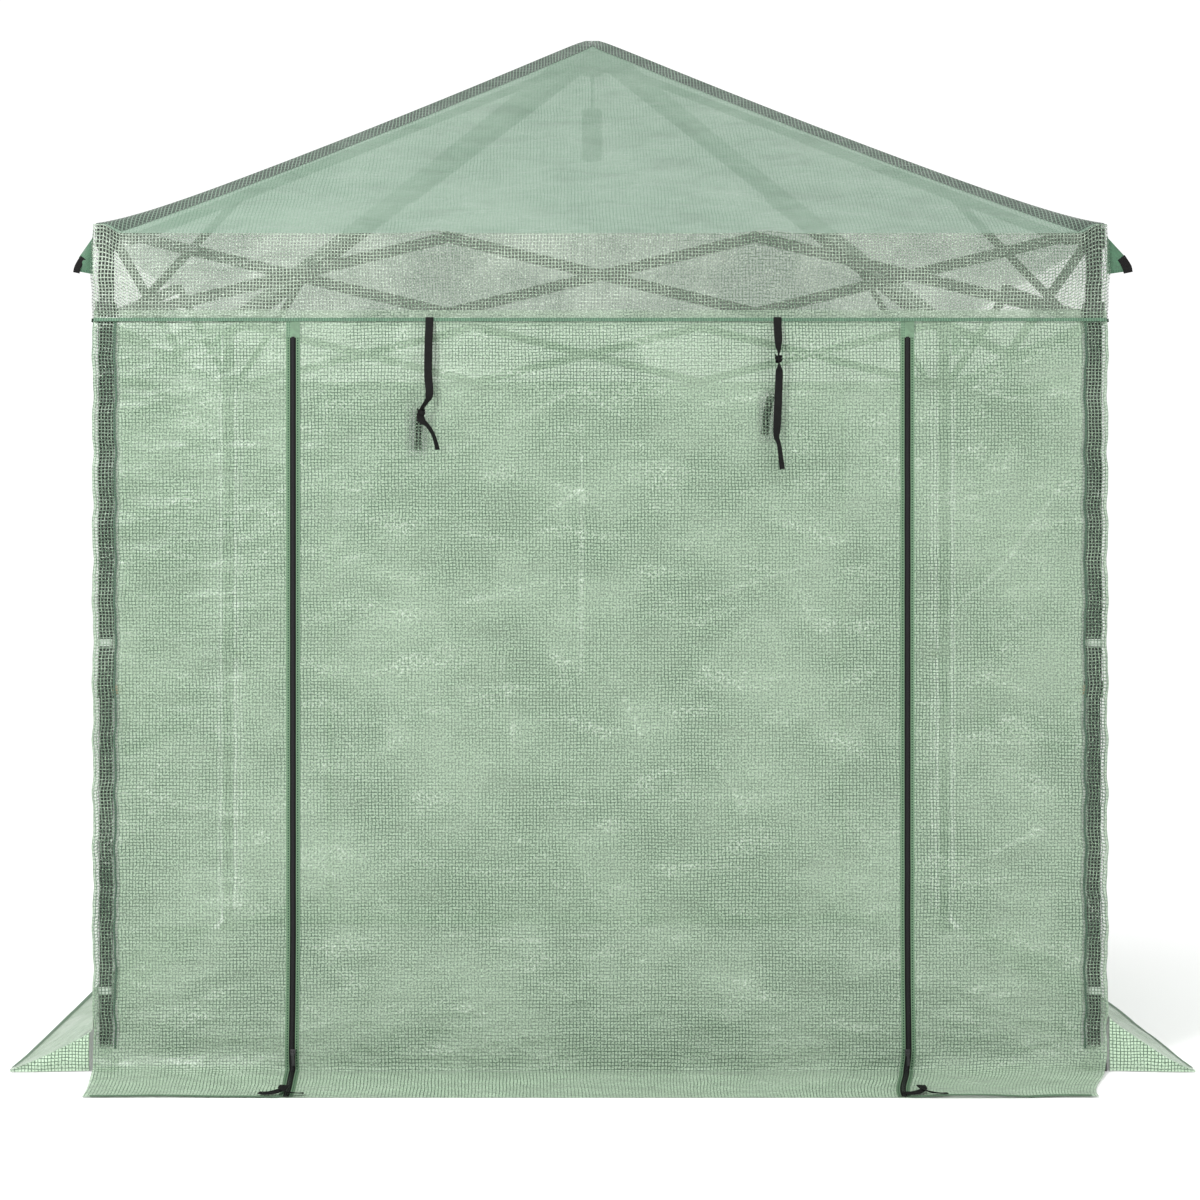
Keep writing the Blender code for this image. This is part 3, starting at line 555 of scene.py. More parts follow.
class Wall:
    """One side of the cover: across it to the right as seen from outside, out from it, and up."""

    def __init__(
        self, name, across, out, centre, half, creases, seed, skirt, skirt_ends, far_skirt=None, far_end=1
    ):
        self.name, self.half, self.creases = name, half, creases
        self.across, self.out, self.centre = (np.array((*v, 0.0)) for v in (across, out, centre))
        self.long = waves(seed, 9, 0.30, 0.95, 0.7)
        self.short = waves(seed + 1, 16, 0.045, 0.20, 0.5)
        self.foot = waves(seed + 2, 7, 0.10, 0.55, 0.3)
        self.full = half - CORNER_R + CORNER_ARC
        self.skirt_ends, self.far_end = skirt_ends, far_end
        self.feet = [self.foot_curve(skirt), self.foot_curve(far_skirt or skirt)]
        self.bend_z, self.foot_long = skirt[0][1], self.feet[0][1][-1]

    def foot_curve(self, line):
        """Profile of the foot: how far out and how high, from the upright wall to the skirt's edge."""
        line = np.array(line)
        steps = np.linspace(0, len(line) - 1, 90)
        low = np.floor(steps).astype(int).clip(0, len(line) - 2)
        t = (steps - low)[:, None]
        p0, p1, p2, p3 = (line[(low + k).clip(0, len(line) - 1)] for k in (-1, 0, 1, 2))
        curve = 0.5 * (
            2 * p1 + (p2 - p0) * t + (
                2 * p0 - 5 * p1 + 4 * p2 - p3
            ) * t**2 + (3 * p1 - p0 - 3 * p2 + p3) * t**3
        )
        run = np.concatenate([[0], np.cumsum(np.hypot(*np.diff(curve, axis=0).T))])
        return curve, run

    def points(self, u, s, lift=0.0):
        """The surface at u across and s up: above the bend s is height, below it length along the foot."""
        u, s = np.broadcast_arrays(np.asarray(u, float), np.asarray(s, float))
        below = np.clip(self.bend_z - s, 0, self.foot_long)
        share = below / self.foot_long
        if self.name == "front":
            far_side = 1 - smooth((np.abs(u) - DOOR_HALF - 0.005) / 0.10)
        else:
            far_side = smooth((self.far_end * u / self.half + 0.9) / 1.5)
        out, z = 0.0, 0.0
        for part, (curve, run) in zip((1 - far_side, far_side), self.feet):
            out = out + part * np.interp(share * run[-1], run, curve[:, 0])
            z = z + part * np.interp(share * run[-1], run, curve[:, 1])
        z = np.where(s > self.bend_z, s, z)
        far = smooth(below / self.foot_long)
        over = np.abs(u) - (self.half - CORNER_R)
        turn = np.clip(over / CORNER_ARC, 0, 1) * math.pi / 4
        reach = np.where(over > 0, self.half - CORNER_R + CORNER_R * np.sin(turn), np.abs(u)) * np.sign(u)
        ends = np.where(u < 0, self.skirt_ends[0], self.skirt_ends[1])
        reach = reach * (1 - far * (1 - ends / self.half))
        out = out - CORNER_R * (1 - np.cos(turn))
        push, mark = self.relief(u, z)
        ground = 1 - smooth(below / 0.05)
        push = push * ground
        edge = smooth((self.half - np.abs(u) - 0.05) / 0.06)
        scallop = 0.0008 + (
            0.0016 * np.sin(z * 41 + 1.3 * np.sin(z * 9)) + 0.0007 * np.sin(z * 97)
        ) * (1 - edge) * ground
        out = out + push * edge + scallop * smooth((EAVE_Z - z) / 0.05)
        reach = reach + np.sign(u) * scallop * smooth((EAVE_Z - z) / 0.05)
        wavy = wave_sum(self.foot, u, s * 0.4, 0.055)
        if self.name == "front":
            wavy = wavy * (0.06 + 0.94 * smooth((np.abs(u) - DOOR_HALF - 0.02) / 0.10))
        z = z + np.where(below > 0, np.abs(wavy) * smooth(below / 0.08) * 0.8, 0)
        out = out + np.where(below > 0, wavy * far * 0.6, 0)
        z = z + eave_rise(u, self.half) * smooth((z - EAVE_Z + 0.12) / 0.12)
        place = self.centre + reach[..., None] * self.across + (out + lift)[..., None] * self.out
        place[..., 2] = z + (lift * smooth(below / 0.04) if np.isscalar(lift) else 0)
        return place, mark * ground

    def relief(self, u, z):
        """Soft folds and creases.

        Inside the door they stay low, so that its folded layers clear each other.
        """
        calm = smooth((np.abs(u) - DOOR_HALF - 0.02) / 0.12) if self.name == "front" else np.ones_like(u)
        top = smooth((EAVE_Z - z) / 0.20)
        push = wave_sum(self.long, u, z, 0.020) * (0.10 + 0.90 * calm) + wave_sum(
            self.short, u, z, 0.030
        ) * (0.55 + 0.45 * calm)
        mark = np.zeros_like(u)
        for path, wide, high in self.creases:
            p, m = ridge(u, z, path, wide, high)
            push, mark = push + p, np.maximum(mark, m)
        limit = 0.0011 + 0.0041 * calm
        return limit * np.tanh(push / limit) * top, mark

    def near_frame(self, u, s):
        """1 where the wall lies against a leg or an inner strap tail, -1 on the skirt, where the film is painted
        lighter as painted light.
        """
        below = np.clip(self.bend_z - s, 0, self.foot_long) / self.foot_long
        leg = smooth((np.abs(u) - self.half + 0.070) / 0.014) * smooth((s - 0.050) / 0.02)
        leg = leg * smooth((self.half - 0.004 - np.abs(u)) / 0.008)
        if self.name == "front":
            for x, z, wide, high in TAIL_SPOTS:
                leg = np.maximum(leg, 0.9 * np.exp(-(((u - x) / wide) ** 4) - ((s - z) / high) ** 4))
        return leg - smooth(below / 0.5)

    def strip(self, name, u, s, look, lift=0.0, flat=None, keep=None):
        """A sheet over part of the wall, from its columns u and rows s."""
        uu, ss = np.meshgrid(u, s)
        lift = lift if np.isscalar(lift) else np.broadcast_to(lift, uu.shape)
        place, mark = self.points(uu, ss, lift)
        if flat is None:
            flat = np.stack([uu, ss], axis=-1)
        return lattice(name, place, flat, look, mark, keep, self.near_frame(uu, ss))


def columns_of(wall, step, *through):
    """Columns across a wall, close together round its two corners."""
    turn = wall.half - CORNER_R
    ends = np.linspace(turn, wall.full, 5)
    return np.unique(np.concatenate([-ends, spread(-turn, *through, turn, step=step), ends]).round(6))


def spread(*stops, step=GRID):
    """Evenly spaced numbers that pass through every stop."""
    found = [np.array([stops[0]])]
    for a, b in zip(stops, stops[1:]):
        found.append(np.linspace(a, b, max(2, int(round(abs(b - a) / step)) + 1))[1:])
    return np.concatenate(found)


FRONT_FOOT = [
    (0.0, 0.060),
    (0.003, 0.036),
    (0.018, 0.012),
    (0.050, 0.0030),
    (0.110, 0.0020),
    (0.168, 0.0018),
    (0.212, 0.0020),
]
DOOR_FOOT = [
    (0.0, 0.060),
    (0.0, 0.030),
    (0.0, 0.008),
    (0.0010, 0.0034),
    (0.006, 0.0021),
    (0.050, 0.0020),
    (0.110, 0.0020),
    (0.168, 0.0020),
    (0.212, 0.0020),
]
SIDE_FOOT = [
    (0.0, 0.185), (0.0, 0.150), (0.004, 0.128), (0.050, 0.092), (0.100, 0.058), (0.150, 0.028), (0.204, 0.004)
]
LEFT_FOOT = [
    (0.0, 0.185), (0.0, 0.125), (0.004, 0.096), (0.050, 0.068), (0.102, 0.042), (0.150, 0.020), (0.192, 0.004)
]
BACK_END_FOOT = [
    (0.0, 0.185),
    (0.000, 0.120),
    (0.001, 0.060),
    (0.010, 0.022),
    (0.050, 0.0045),
    (0.125, 0.003),
    (0.200, 0.004),
]
side_ends = (HALF_DEPTH + 0.012, HALF_DEPTH - 0.030)
walls = {
    "front": Wall(
        "front",
        (1, 0),
        (0, -1),
        (0, FRONT_Y),
        SIDE_X,
        FRONT_CREASES,
        11,
        FRONT_FOOT,
        (LEG_X - 0.002, LEG_X - 0.058),
        DOOR_FOOT,
    ),
    "right": Wall(
        "right",
        (0, 1),
        (1, 0),
        (SIDE_X, 0),
        HALF_DEPTH,
        random_creases(31, 14, HALF_DEPTH, 0.3, 1.7),
        21,
        SIDE_FOOT,
        side_ends,
        BACK_END_FOOT,
    ),
    "back": Wall(
        "back",
        (-1, 0),
        (0, 1),
        (0, -FRONT_Y),
        SIDE_X,
        random_creases(41, 20, SIDE_X, 0.2, 1.7),
        51,
        FRONT_FOOT,
        (LEG_X - 0.030, LEG_X - 0.040),
    ),
    "left": Wall(
        "left",
        (0, -1),
        (-1, 0),
        (-SIDE_X, 0),
        HALF_DEPTH,
        random_creases(61, 14, HALF_DEPTH, 0.3, 1.7),
        71,
        LEFT_FOOT,
        side_ends[::-1],
        BACK_END_FOOT,
        -1,
    ),
}
WALL_NODES = {
    "front": "wall_front_left", "left": "wall_front_left", "right": "wall_right", "back": "wall_back"
}
RIDES = {
    "front": "leg_front_left", "right": "leg_front_right", "back": "leg_back_left", "left": "leg_front_left"
}


def gather(obj, side, body=None):
    """Rides the side's body, on a mesh of its own."""
    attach(obj, body or RIDES[side])
    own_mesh(obj)
    return obj


def film(obj):
    return obj


# ---- walls ----
front = walls["front"]
front_columns = columns_of(front, GRID, -DOOR_HALF, DOOR_HALF)
foot_end = front.bend_z - front.foot_long
door_bend = front.bend_z - 0.0585 / front.feet[1][1][-1] * front.foot_long
front_rows = np.unique(np.concatenate([
    spread(foot_end, door_bend, front.bend_z, step=0.006),
    spread(front.bend_z, *sorted(STRIP_TOPS), WALL_TOP_Z),
]).round(6))
middle_u = (front_columns[:-1] + front_columns[1:]) / 2
middle_s = (front_rows[:-1] + front_rows[1:]) / 2
in_door = (np.abs(middle_u)[None, :] < DOOR_HALF) & (middle_s[:, None] < STRIP_TOPS[0])
cover_front = front.strip("cover_front", front_columns, front_rows, FILM, keep=~in_door)

gather(cover_front, "front")

for side in ("right", "back", "left"):
    wall = walls[side]
    columns = columns_of(wall, PLAIN_GRID)
    rows = np.unique(np.concatenate([
        spread(wall.bend_z - wall.foot_long, wall.bend_z, step=0.008),
        spread(wall.bend_z, WALL_TOP_Z, step=PLAIN_GRID),
    ]).round(6))
    made = gather(wall.strip(f"cover_{side}", columns, rows, FILM), side)
    long = WALL_TOP_Z - wall.bend_z + wall.foot_long
    film(made)
film(
    cover_front,
)
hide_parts(WALL_NODES["front"])
for side in ("left", "right", "back"):
    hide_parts(WALL_NODES[side])

# ---- the front ends of the side skirts, closed down to the ground ----
for side, end in (("left", 1), ("right", -1)):
    wall = walls[side]
    down = np.linspace(wall.bend_z, wall.bend_z - wall.foot_long, 61)
    top, _ = wall.points(np.full(len(down), end * wall.full), down)
    outside = np.abs(top[:, 0]) > SIDE_X + 0.003
    top, down = top[outside], down[outside]
    share = np.linspace(0, 1, 12)[:, None]
    place = np.repeat(top[None, :, :], len(share), axis=0)
    place[..., 2] = top[None, :, 2] * (1 - share) + np.minimum(GUSSET_FLOOR, top[:, 2])[None, :] * share
    place[..., 1] += 0.004 * np.sin(math.pi * share) * np.sin(down * 60)[None, :]
    run = np.hypot(*(top[:, :2] - top[0, :2]).T)
    flat = np.stack([np.repeat(run[None, :], len(share), axis=0), place[..., 2]], axis=-1)
    # painted light: the gussets take the lighter skirt colour
    painted_skirt_light = np.full(place.shape[:2], -1.0)
    gusset = gather(lattice(f"skirt_gusset_{side}", place, flat, FILM, clear=painted_skirt_light), side)
    film(gusset)

# ---- door panel, in the strips that it folds in ----
door_u = front_columns[(front_columns > -DOOR_HALF - 1e-6) & (front_columns < DOOR_HALF + 1e-6)]
levels = [*STRIP_TOPS, door_bend, foot_end]
near = [front_rows[np.argmin(np.abs(front_rows - v))] for v in levels]
for part, high, low in zip(("upper", "middle", "lower", "skirt"), near, near[1:]):
    rows = front_rows[(front_rows > low - 1e-6) & (front_rows < high + 1e-6)]
    panel = gather(front.strip(f"door_panel_{part}", door_u, rows, FILM), "front", f"door_{part}")
    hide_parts(f"door_{part}")
    film(panel)


# ---- roof ----
def gore(side, look):
    """One face of the roof, a little slack between the hips and rounded over the peak."""
    wall = walls[side]
    run = abs(float(wall.centre @ wall.out))
    t = np.concatenate(
        [np.linspace(-1, -0.93, 8)[:-1], np.linspace(-0.93, 0.93, 90), np.linspace(0.93, 1, 8)[1:]]
    )
    s = np.concatenate(
        [np.linspace(0, 0.06, 7)[:-1], np.linspace(0.06, 0.90, 56), np.linspace(0.90, 1, 16)[1:]]
    )
    tt, ss = np.meshgrid(t, s)
    u = tt * wall.full * (1 - ss)
    depth = run * (1 - ss)
    over = np.clip((np.abs(tt) * wall.full - (wall.half - CORNER_R)) / CORNER_ARC, 0, 1)
    inset = CORNER_R * (1 - np.cos(over * math.pi / 4)) * (1 - ss)
    rounded = wall.half - CORNER_R + CORNER_R * np.sin(over * math.pi / 4)
    reach = np.where(over > 0, rounded, np.abs(tt) * wall.full) * np.sign(tt) * (1 - ss)
    top = APEX_Z - EAVE_Z
    z = APEX_Z - top * np.hypot(1 - ss, 0.018) - 0.0125 * np.sin(math.pi * ss.clip(0, 1)) ** 0.8
    z = z + eave_rise(tt * wall.half, wall.half) * (1 - ss) ** 14
    slack = (1 - tt**2) * np.sin(math.pi * ss) ** 0.9
    z = z - 0.008 * slack
    ripple = wave_sum(waves(90 + len(side), 10, 0.08, 0.5, 1.2), u, depth, 0.010)
    ripple = ripple * (1 - tt**6) * smooth(ss / 0.1) * smooth((1 - ss) / 0.1)
    pucker = 0.0016 * np.sin(u * 160) * np.exp(-ss / 0.025) * (1 - tt**8) * smooth(ss / 0.004)
    z = z + ripple + pucker
    place = reach[..., None] * wall.across + (depth - inset)[..., None] * wall.out
    place[..., 2] = z
    slope = math.hypot(run, APEX_Z - EAVE_Z)
    made = lattice(f"cover_roof_{side}", place, np.stack([reach, ss * slope], axis=-1), look)
    gather(made, side, f"roof_{side}")
    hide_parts(f"roof_{side}")
    film(made)
    # a doubled band along both hips
    for edge, (a, b) in {"left_hip": (-1.0, HIP_SHARE - 1.0), "right_hip": (1.0 - HIP_SHARE, 1.0)}.items():
        rows = np.linspace(0.004, 0.985, 60)
        tb, sb = np.meshgrid(np.linspace(a, b, 4), rows)
        off_hip = np.abs(np.where(tb < 0, tb + 1, 1 - tb) / HIP_SHARE)
        inner = np.where(tb < 0, -1, 1) * np.maximum(1 - HIP_WIDE * off_hip / (wall.half * (1 - sb) + 1e-6), 0.02)
        column = np.interp(inner, t, np.arange(len(t)))
        row = np.interp(sb, s, np.arange(len(s)))
        c0 = np.floor(column).astype(int).clip(0, len(t) - 2)
        r0 = np.floor(row).astype(int).clip(0, len(s) - 2)
        fc, fr = (column - c0)[..., None], (row - r0)[..., None]
        low_row = place[r0, c0] * (1 - fc) + place[r0, c0 + 1] * fc
        high_row = place[r0 + 1, c0] * (1 - fc) + place[r0 + 1, c0 + 1] * fc
        at = low_row * (1 - fr) + high_row * fr
        at[..., 2] += 0.0016
        flat = np.stack([inner * wall.full * (1 - sb), sb * slope], axis=-1)
        band = lattice(f"roof_{side}_{edge}_band", at, flat, HIP_FILM)
        gather(band, side, f"roof_{side}")
        film(band)


for side in walls:
    gore(side, ROOF_FILM)

# ---- valance: the loose band under the eave, with its stitched hem ----
for side, wall in walls.items():
    columns = columns_of(wall, VALANCE_GRID)
    rows = spread(VALANCE_Z - 0.004, VALANCE_Z + 0.016, EAVE_Z, step=VALANCE_GRID)
    uu, ss = np.meshgrid(columns, rows)
    droop = smooth((EAVE_Z - ss) / 0.05)
    ripples = waves(120 + len(side), 8, 0.07, 0.4, 2.6)
    curl = wave_sum(ripples, uu, ss, 0.020) * smooth((EAVE_Z - ss) / 0.20)
    lift = VALANCE_LIFT * droop + np.clip(curl, -0.002, 0.004) * smooth((wall.half - np.abs(uu)) / 0.06)
    place, mark = wall.points(uu, ss, lift)
    flat = np.stack([uu, ss], axis=-1)
    clear = wall.near_frame(uu, ss)
    flap = gather(lattice(f"valance_{side}", place, flat, VALANCE_FILM, mark, clear=clear), side)
    rows_hem = np.linspace(VALANCE_Z - 0.005, VALANCE_Z + 0.003, 4)
    uh, sh = np.meshgrid(columns, rows_hem)
    curl_h = wave_sum(ripples, uh, sh, 0.020)
    lift_h = VALANCE_LIFT + np.clip(curl_h, -0.002, 0.004) * smooth((wall.half - np.abs(uh)) / 0.06) + 0.0010
    place_h, _ = wall.points(uh, sh, lift_h)
    hem = gather(
        lattice(f"valance_{side}_hem", place_h, np.stack([sh - VALANCE_Z + 0.005, uh], axis=-1), HEM_BINDING),
        side,
    )
    film(flap)
    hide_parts(WALL_NODES[side])


# ---- seams, hems and window frames that lie on the walls ----
def tape(name, side, u_stops, s_stops, look, lift=0.0012, upright=True):
    """A narrow tape on a wall. Its cloth place runs across it and along it, in metres."""
    wall = walls[side]
    if upright:
        u, s = np.linspace(*u_stops, 4), spread(*s_stops, step=0.012)
    else:
        u, s = spread(*u_stops, step=0.012), np.linspace(*s_stops, 4)
    uu, ss = np.meshgrid(u, s)
    flat = np.stack([uu - u[0], ss], axis=-1) if upright else np.stack([ss - s[0], uu], axis=-1)
    made = gather(wall.strip(name, u, s, look, lift, flat), side)
    return made


for sign, hand in HANDS:
    for name, side, at, half in (
        ("front_seam", "front", SEAM_X, SEAM_HALF),
        ("back_seam", "back", SEAM_X, SEAM_HALF),
        ("back_panel_seam", "back", PANEL_SEAM_X, PANEL_SEAM_HALF),
    ):
        across = (sign * at - half, sign * at + half)
        tape(f"{name}_{hand}", side, across, (SEAM_LOW_Z, SEAM_TOP_Z), GREEN_BINDING)
for side, wall in walls.items():
    edge = wall.bend_z - wall.foot_long
    end = wall.half - 0.02
    hems = {f"{side}_skirt_hem": (-end, end)}
    if side == "front":
        hems = {"front_skirt_hem_left": (-end, -ZIP_X - 0.018), "front_skirt_hem_right": (ZIP_X + 0.018, end)}
    for name, run in hems.items():
        tape(name, side, run, (edge, edge + SKIRT_HEM_WIDE), SKIRT_HEM, 0.0010, upright=False)

WINDOW = (-0.50, 0.50, 0.725, 1.690)
EDGE_HALF = 0.012
for side in ("left", "right"):
    u0, u1, z0, z1 = WINDOW
    wall = walls[side]
    pane = gather(
        wall.strip(
            f"window_{side}_mesh", spread(u0, u1, step=0.02), spread(z0, z1, step=0.02), MESH_LOOK, 0.0016
        ),
        side,
    )
    long_edge = (u0 - 0.010, u1 + 0.010)
    for name, z in (("sill", z0), ("head", z1)):
        around = (z - EDGE_HALF, z + EDGE_HALF)
        tape(f"window_{side}_{name}", side, long_edge, around, GREEN_BINDING, 0.0026, upright=False)
    for name, u in (("front_edge", u0), ("back_edge", u1)):
        around = (u - EDGE_HALF, u + EDGE_HALF)
        tape(f"window_{side}_{name}", side, around, (z0, z1), GREEN_BINDING, 0.0030)
    film(pane)

# ---- zips ----
for sign, hand in HANDS:
    across = np.array(
        [
            -ZIP_TAPE_HALF,
            -0.0105,
            -0.0088,
            -0.0040,
            -0.0030,
            0.0,
            0.0030,
            0.0040,
            0.0088,
            0.0105,
            ZIP_TAPE_HALF,
        ]
    )
    raised = np.array(
        [0.0006, 0.0006, 0.0008, 0.0016, 0.0032, 0.0040, 0.0032, 0.0016, 0.0016, 0.0016, 0.0010]
    )[::-sign]
    s = np.concatenate(
        [spread(foot_end + 0.004, front.bend_z, step=0.004), spread(front.bend_z, ZIP_TOP_Z, step=0.010)[1:]]
    )
    lean = 0.010 * sign * smooth((0.35 - s) / 0.5)
    uu, ss = sign * ZIP_X + across[None, :] + lean[:, None] * 0.4, np.broadcast_to(
        s[:, None], (len(s), len(across))
    )
    place, mark = front.points(uu, ss, np.broadcast_to(raised, uu.shape))
    place[..., 2] += np.where(ss < front.bend_z, smooth((front.bend_z - ss) / 0.05) * raised, 0)
    flat = np.stack([np.broadcast_to(across, uu.shape), ss], axis=-1)
    zipper = gather(lattice(f"front_zip_{hand}", place, flat, ZIP_LOOK, mark), "front")
    tape(
        f"front_zip_head_{hand}",
        "front",
        (sign * ZIP_X - ZIP_TAPE_HALF, sign * ZIP_X + ZIP_TAPE_HALF),
        (ZIP_TOP_Z - 0.002, VALANCE_Z - 0.004),
        SKIRT_HEM,
        0.0016,
    )


# ---- straps and small trim ----
def ribbon(name, path, wide, thick, look, turns=None, facing=(0, -1, 0), step=0.004):
    """A flat band along a smooth path.

    turns gives its twist in degrees at each path point, from facing outwards.
    """
    path = [Vector(p) for p in path]
    turns = turns or [0] * len(path)
    line, twist, wides = [], [], []
    for i in range(len(path) - 1):
        p0, p1, p2, p3 = path[max(i - 1, 0)], path[i], path[i + 1], path[min(i + 2, len(path) - 1)]
        n = max(2, int((p2 - p1).length / step))
        for k in range(n):
            t = k / n
            line.append(
                0.5 * (
                    2 * p1 + (p2 - p0) * t + (
                        2 * p0 - 5 * p1 + 4 * p2 - p3
                    ) * t**2 + (3 * p1 - p0 - 3 * p2 + p3) * t**3
                )
            )
            twist.append(turns[i] + (turns[i + 1] - turns[i]) * (t * t * (3 - 2 * t)))
    line.append(path[-1])
    twist.append(turns[-1])
    front_way, run, grid, flats = Vector(facing), 0.0, [], []
    half, deep = wide / 2, thick / 2
    ring = [
        (-half, 0.0),
        (-half * 0.92, deep),
        (-half * 0.4, deep * 1.1),
        (half * 0.4, deep * 1.1),
        (half * 0.92, deep),
        (half, 0.0),
        (half * 0.92, -deep),
        (half * 0.4, -deep * 1.1),
        (-half * 0.4, -deep * 1.1),
        (-half * 0.92, -deep),
    ]
    for i, p in enumerate(line):
        ahead = (line[min(i + 1, len(line) - 1)] - line[max(i - 1, 0)]).normalized()
        side = ahead.cross(front_way)
        side = side.normalized() if side.length > 1e-4 else Vector((1, 0, 0))
        face = side.cross(ahead).normalized()
        angle = math.radians(twist[i])
        a, b = side * math.cos(
            angle
        ) + face * math.sin(angle), face * math.cos(angle) - side * math.sin(angle)
        run += (p - line[max(i - 1, 0)]).length
        grid.append([p + a * x + b * y for x, y in ring])
        flats.append([(x, run) for x, _ in ring])
    verts = [tuple(v) for row in grid for v in row]
    n = len(ring)
    faces = []
    for r in range(len(grid) - 1):
        for c in range(n):
            faces.append((r * n + c, r * n + (c + 1) % n, (r + 1) * n + (c + 1) % n, (r + 1) * n + c))
    faces.append(tuple(reversed(range(n))))
    faces.append(tuple((len(grid) - 1) * n + c for c in range(n)))
    mesh = bpy.data.meshes.new(name)
    mesh.from_pydata(verts, [], faces)
    uv = mesh.uv_layers.new(name="cloth")
    places = [q for row in flats for q in row]
    for poly in mesh.polygons:
        for loop in poly.loop_indices:
            uv.data[loop].uv = places[mesh.loops[loop].vertex_index]
    mesh.materials.append(look)
    mesh.shade_smooth()
    return put_in_scene(name, mesh), run


def tie(name, path, turns, body_side="front", wide=0.019, thick=0.0016, node=None):
    made, long = ribbon(name, path, wide, thick, WEBBING, turns)
    gather(made, body_side)
    if node:
        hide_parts(node)
    return made


OUT = STRAP_Y + 0.001
TURNED = OUT - 0.006
HEM_Y = FRONT_Y - VALANCE_LIFT - 0.003
L, R = -STRAP_X, STRAP_X
tie("tie_left_strap",
    [
        (L + 0.009, HEM_Y, VALANCE_Z + 0.004),
        (L + 0.009, HEM_Y - 0.004, 1.770),
        (L + 0.008, OUT, 1.735),
        (L + 0.007, OUT, 1.66),
        (L + 0.010, OUT - 0.001, 1.612),
        (L + 0.003, TURNED, 1.592),
        (L - 0.007, TURNED, 1.576),
        (L - 0.011, TURNED, 1.560),
        (L - 0.007, TURNED, 1.543),
    ],
    [0, 0, 0, 0, 12, 64, 70, 30, 10], node="tie_strap_left")
tie("tie_left_tail",
    [
        (L - 0.012, TURNED - 0.001, 1.553),
        (L - 0.006, TURNED - 0.002, 1.545),
        (L + 0.006, TURNED - 0.001, 1.535),
        (L + 0.020, TURNED, 1.512),
        (L + 0.030, TURNED, 1.478),
    ],
    [20, 40, 62, 66, 60])
tie("tie_left_inner_tail",
    [
        (L - 0.013, FRONT_Y + 0.006, 1.575),
        (L - 0.017, FRONT_Y + 0.007, 1.53),
        (L - 0.020, FRONT_Y + 0.007, 1.478),
    ],
    [0, 8, 4])
tie("tie_right_strap",
    [
        (R + 0.006, HEM_Y, VALANCE_Z + 0.004),
        (R + 0.006, HEM_Y - 0.004, 1.770),
        (R + 0.006, OUT, 1.745),
        (R + 0.006, OUT - 0.002, 1.722),
        (R + 0.006, TURNED, 1.704),
        (R + 0.007, TURNED, 1.684),
        (R + 0.008, OUT - 0.002, 1.655),
        (R + 0.006, OUT, 1.60),
        (R + 0.003, OUT - 0.001, 1.535),
        (R + 0.001, OUT - 0.004, 1.508),
        (R + 0.007, TURNED, 1.490),
        (R + 0.015, OUT - 0.004, 1.432),
    ],
    [0, 0, 0, 38, 74, 74, 14, 4, 10, 40, 52, 40], node="tie_strap_right")
tie("tie_right_inner_tail",
    [
        (R - 0.002, FRONT_Y + 0.006, 1.62),
        (R - 0.014, FRONT_Y + 0.007, 1.585),
        (R - 0.023, FRONT_Y + 0.007, 1.515),
    ],
    [0, 12, 6])


def knot(name, centre, radius, high, turns=1.6, wide=0.010):
    path = []
    steps = int(14 * turns)
    for k in range(steps + 1):
        a = 2 * math.pi * turns * k / steps
        path.append(
            (
                centre[0] + radius * math.cos(a),
                centre[1] + radius * 0.55 * math.sin(a),
                centre[2] + high * (k / steps - 0.5) + 0.002 * math.sin(2 * a),
            )
        )
    made, _ = ribbon(name, path, wide, 0.0015, WEBBING, facing=(0, 0, 1), turns=[80] * len(path))
    gather(made, "front")


knot("tie_left_knot", (L - 0.009, TURNED, 1.566), 0.0075, 0.010)
knot("tie_right_knot", (R + 0.006, TURNED, 1.693), 0.0065, 0.012)


def ball(name, centre, size, look, squareness=2.6, around=28, up=16):
    """A soft-cornered solid button."""
    rows, place = [], []
    for i in range(up + 1):
        b = math.pi * (i / up - 0.5)
        for k in range(around):
            a = 2 * math.pi * k / around
            v = (math.cos(b) * math.cos(a), math.cos(b) * math.sin(a), math.sin(b))
            norm = sum(abs(c) ** squareness for c in v) ** (1 / squareness)
            rows.append(tuple(centre[j] + size[j] / 2 * v[j] / norm for j in range(3)))
    faces = [
        (
            i * around + k,
            i * around + (k + 1) % around,
            (i + 1) * around + (k + 1) % around,
            (i + 1) * around + k,
        ) for i in range(up) for k in range(around)
    ]
    mesh = bpy.data.meshes.new(name)
    mesh.from_pydata(rows, [], faces)
    bm = bmesh.new()
    bm.from_mesh(mesh)
    bmesh.ops.remove_doubles(bm, verts=bm.verts, dist=1e-5)
    bmesh.ops.recalc_face_normals(bm, faces=bm.faces)
    bm.to_mesh(mesh)
    bm.free()
    mesh.materials.append(look)
    mesh.shade_smooth()
    return put_in_scene(name, mesh)


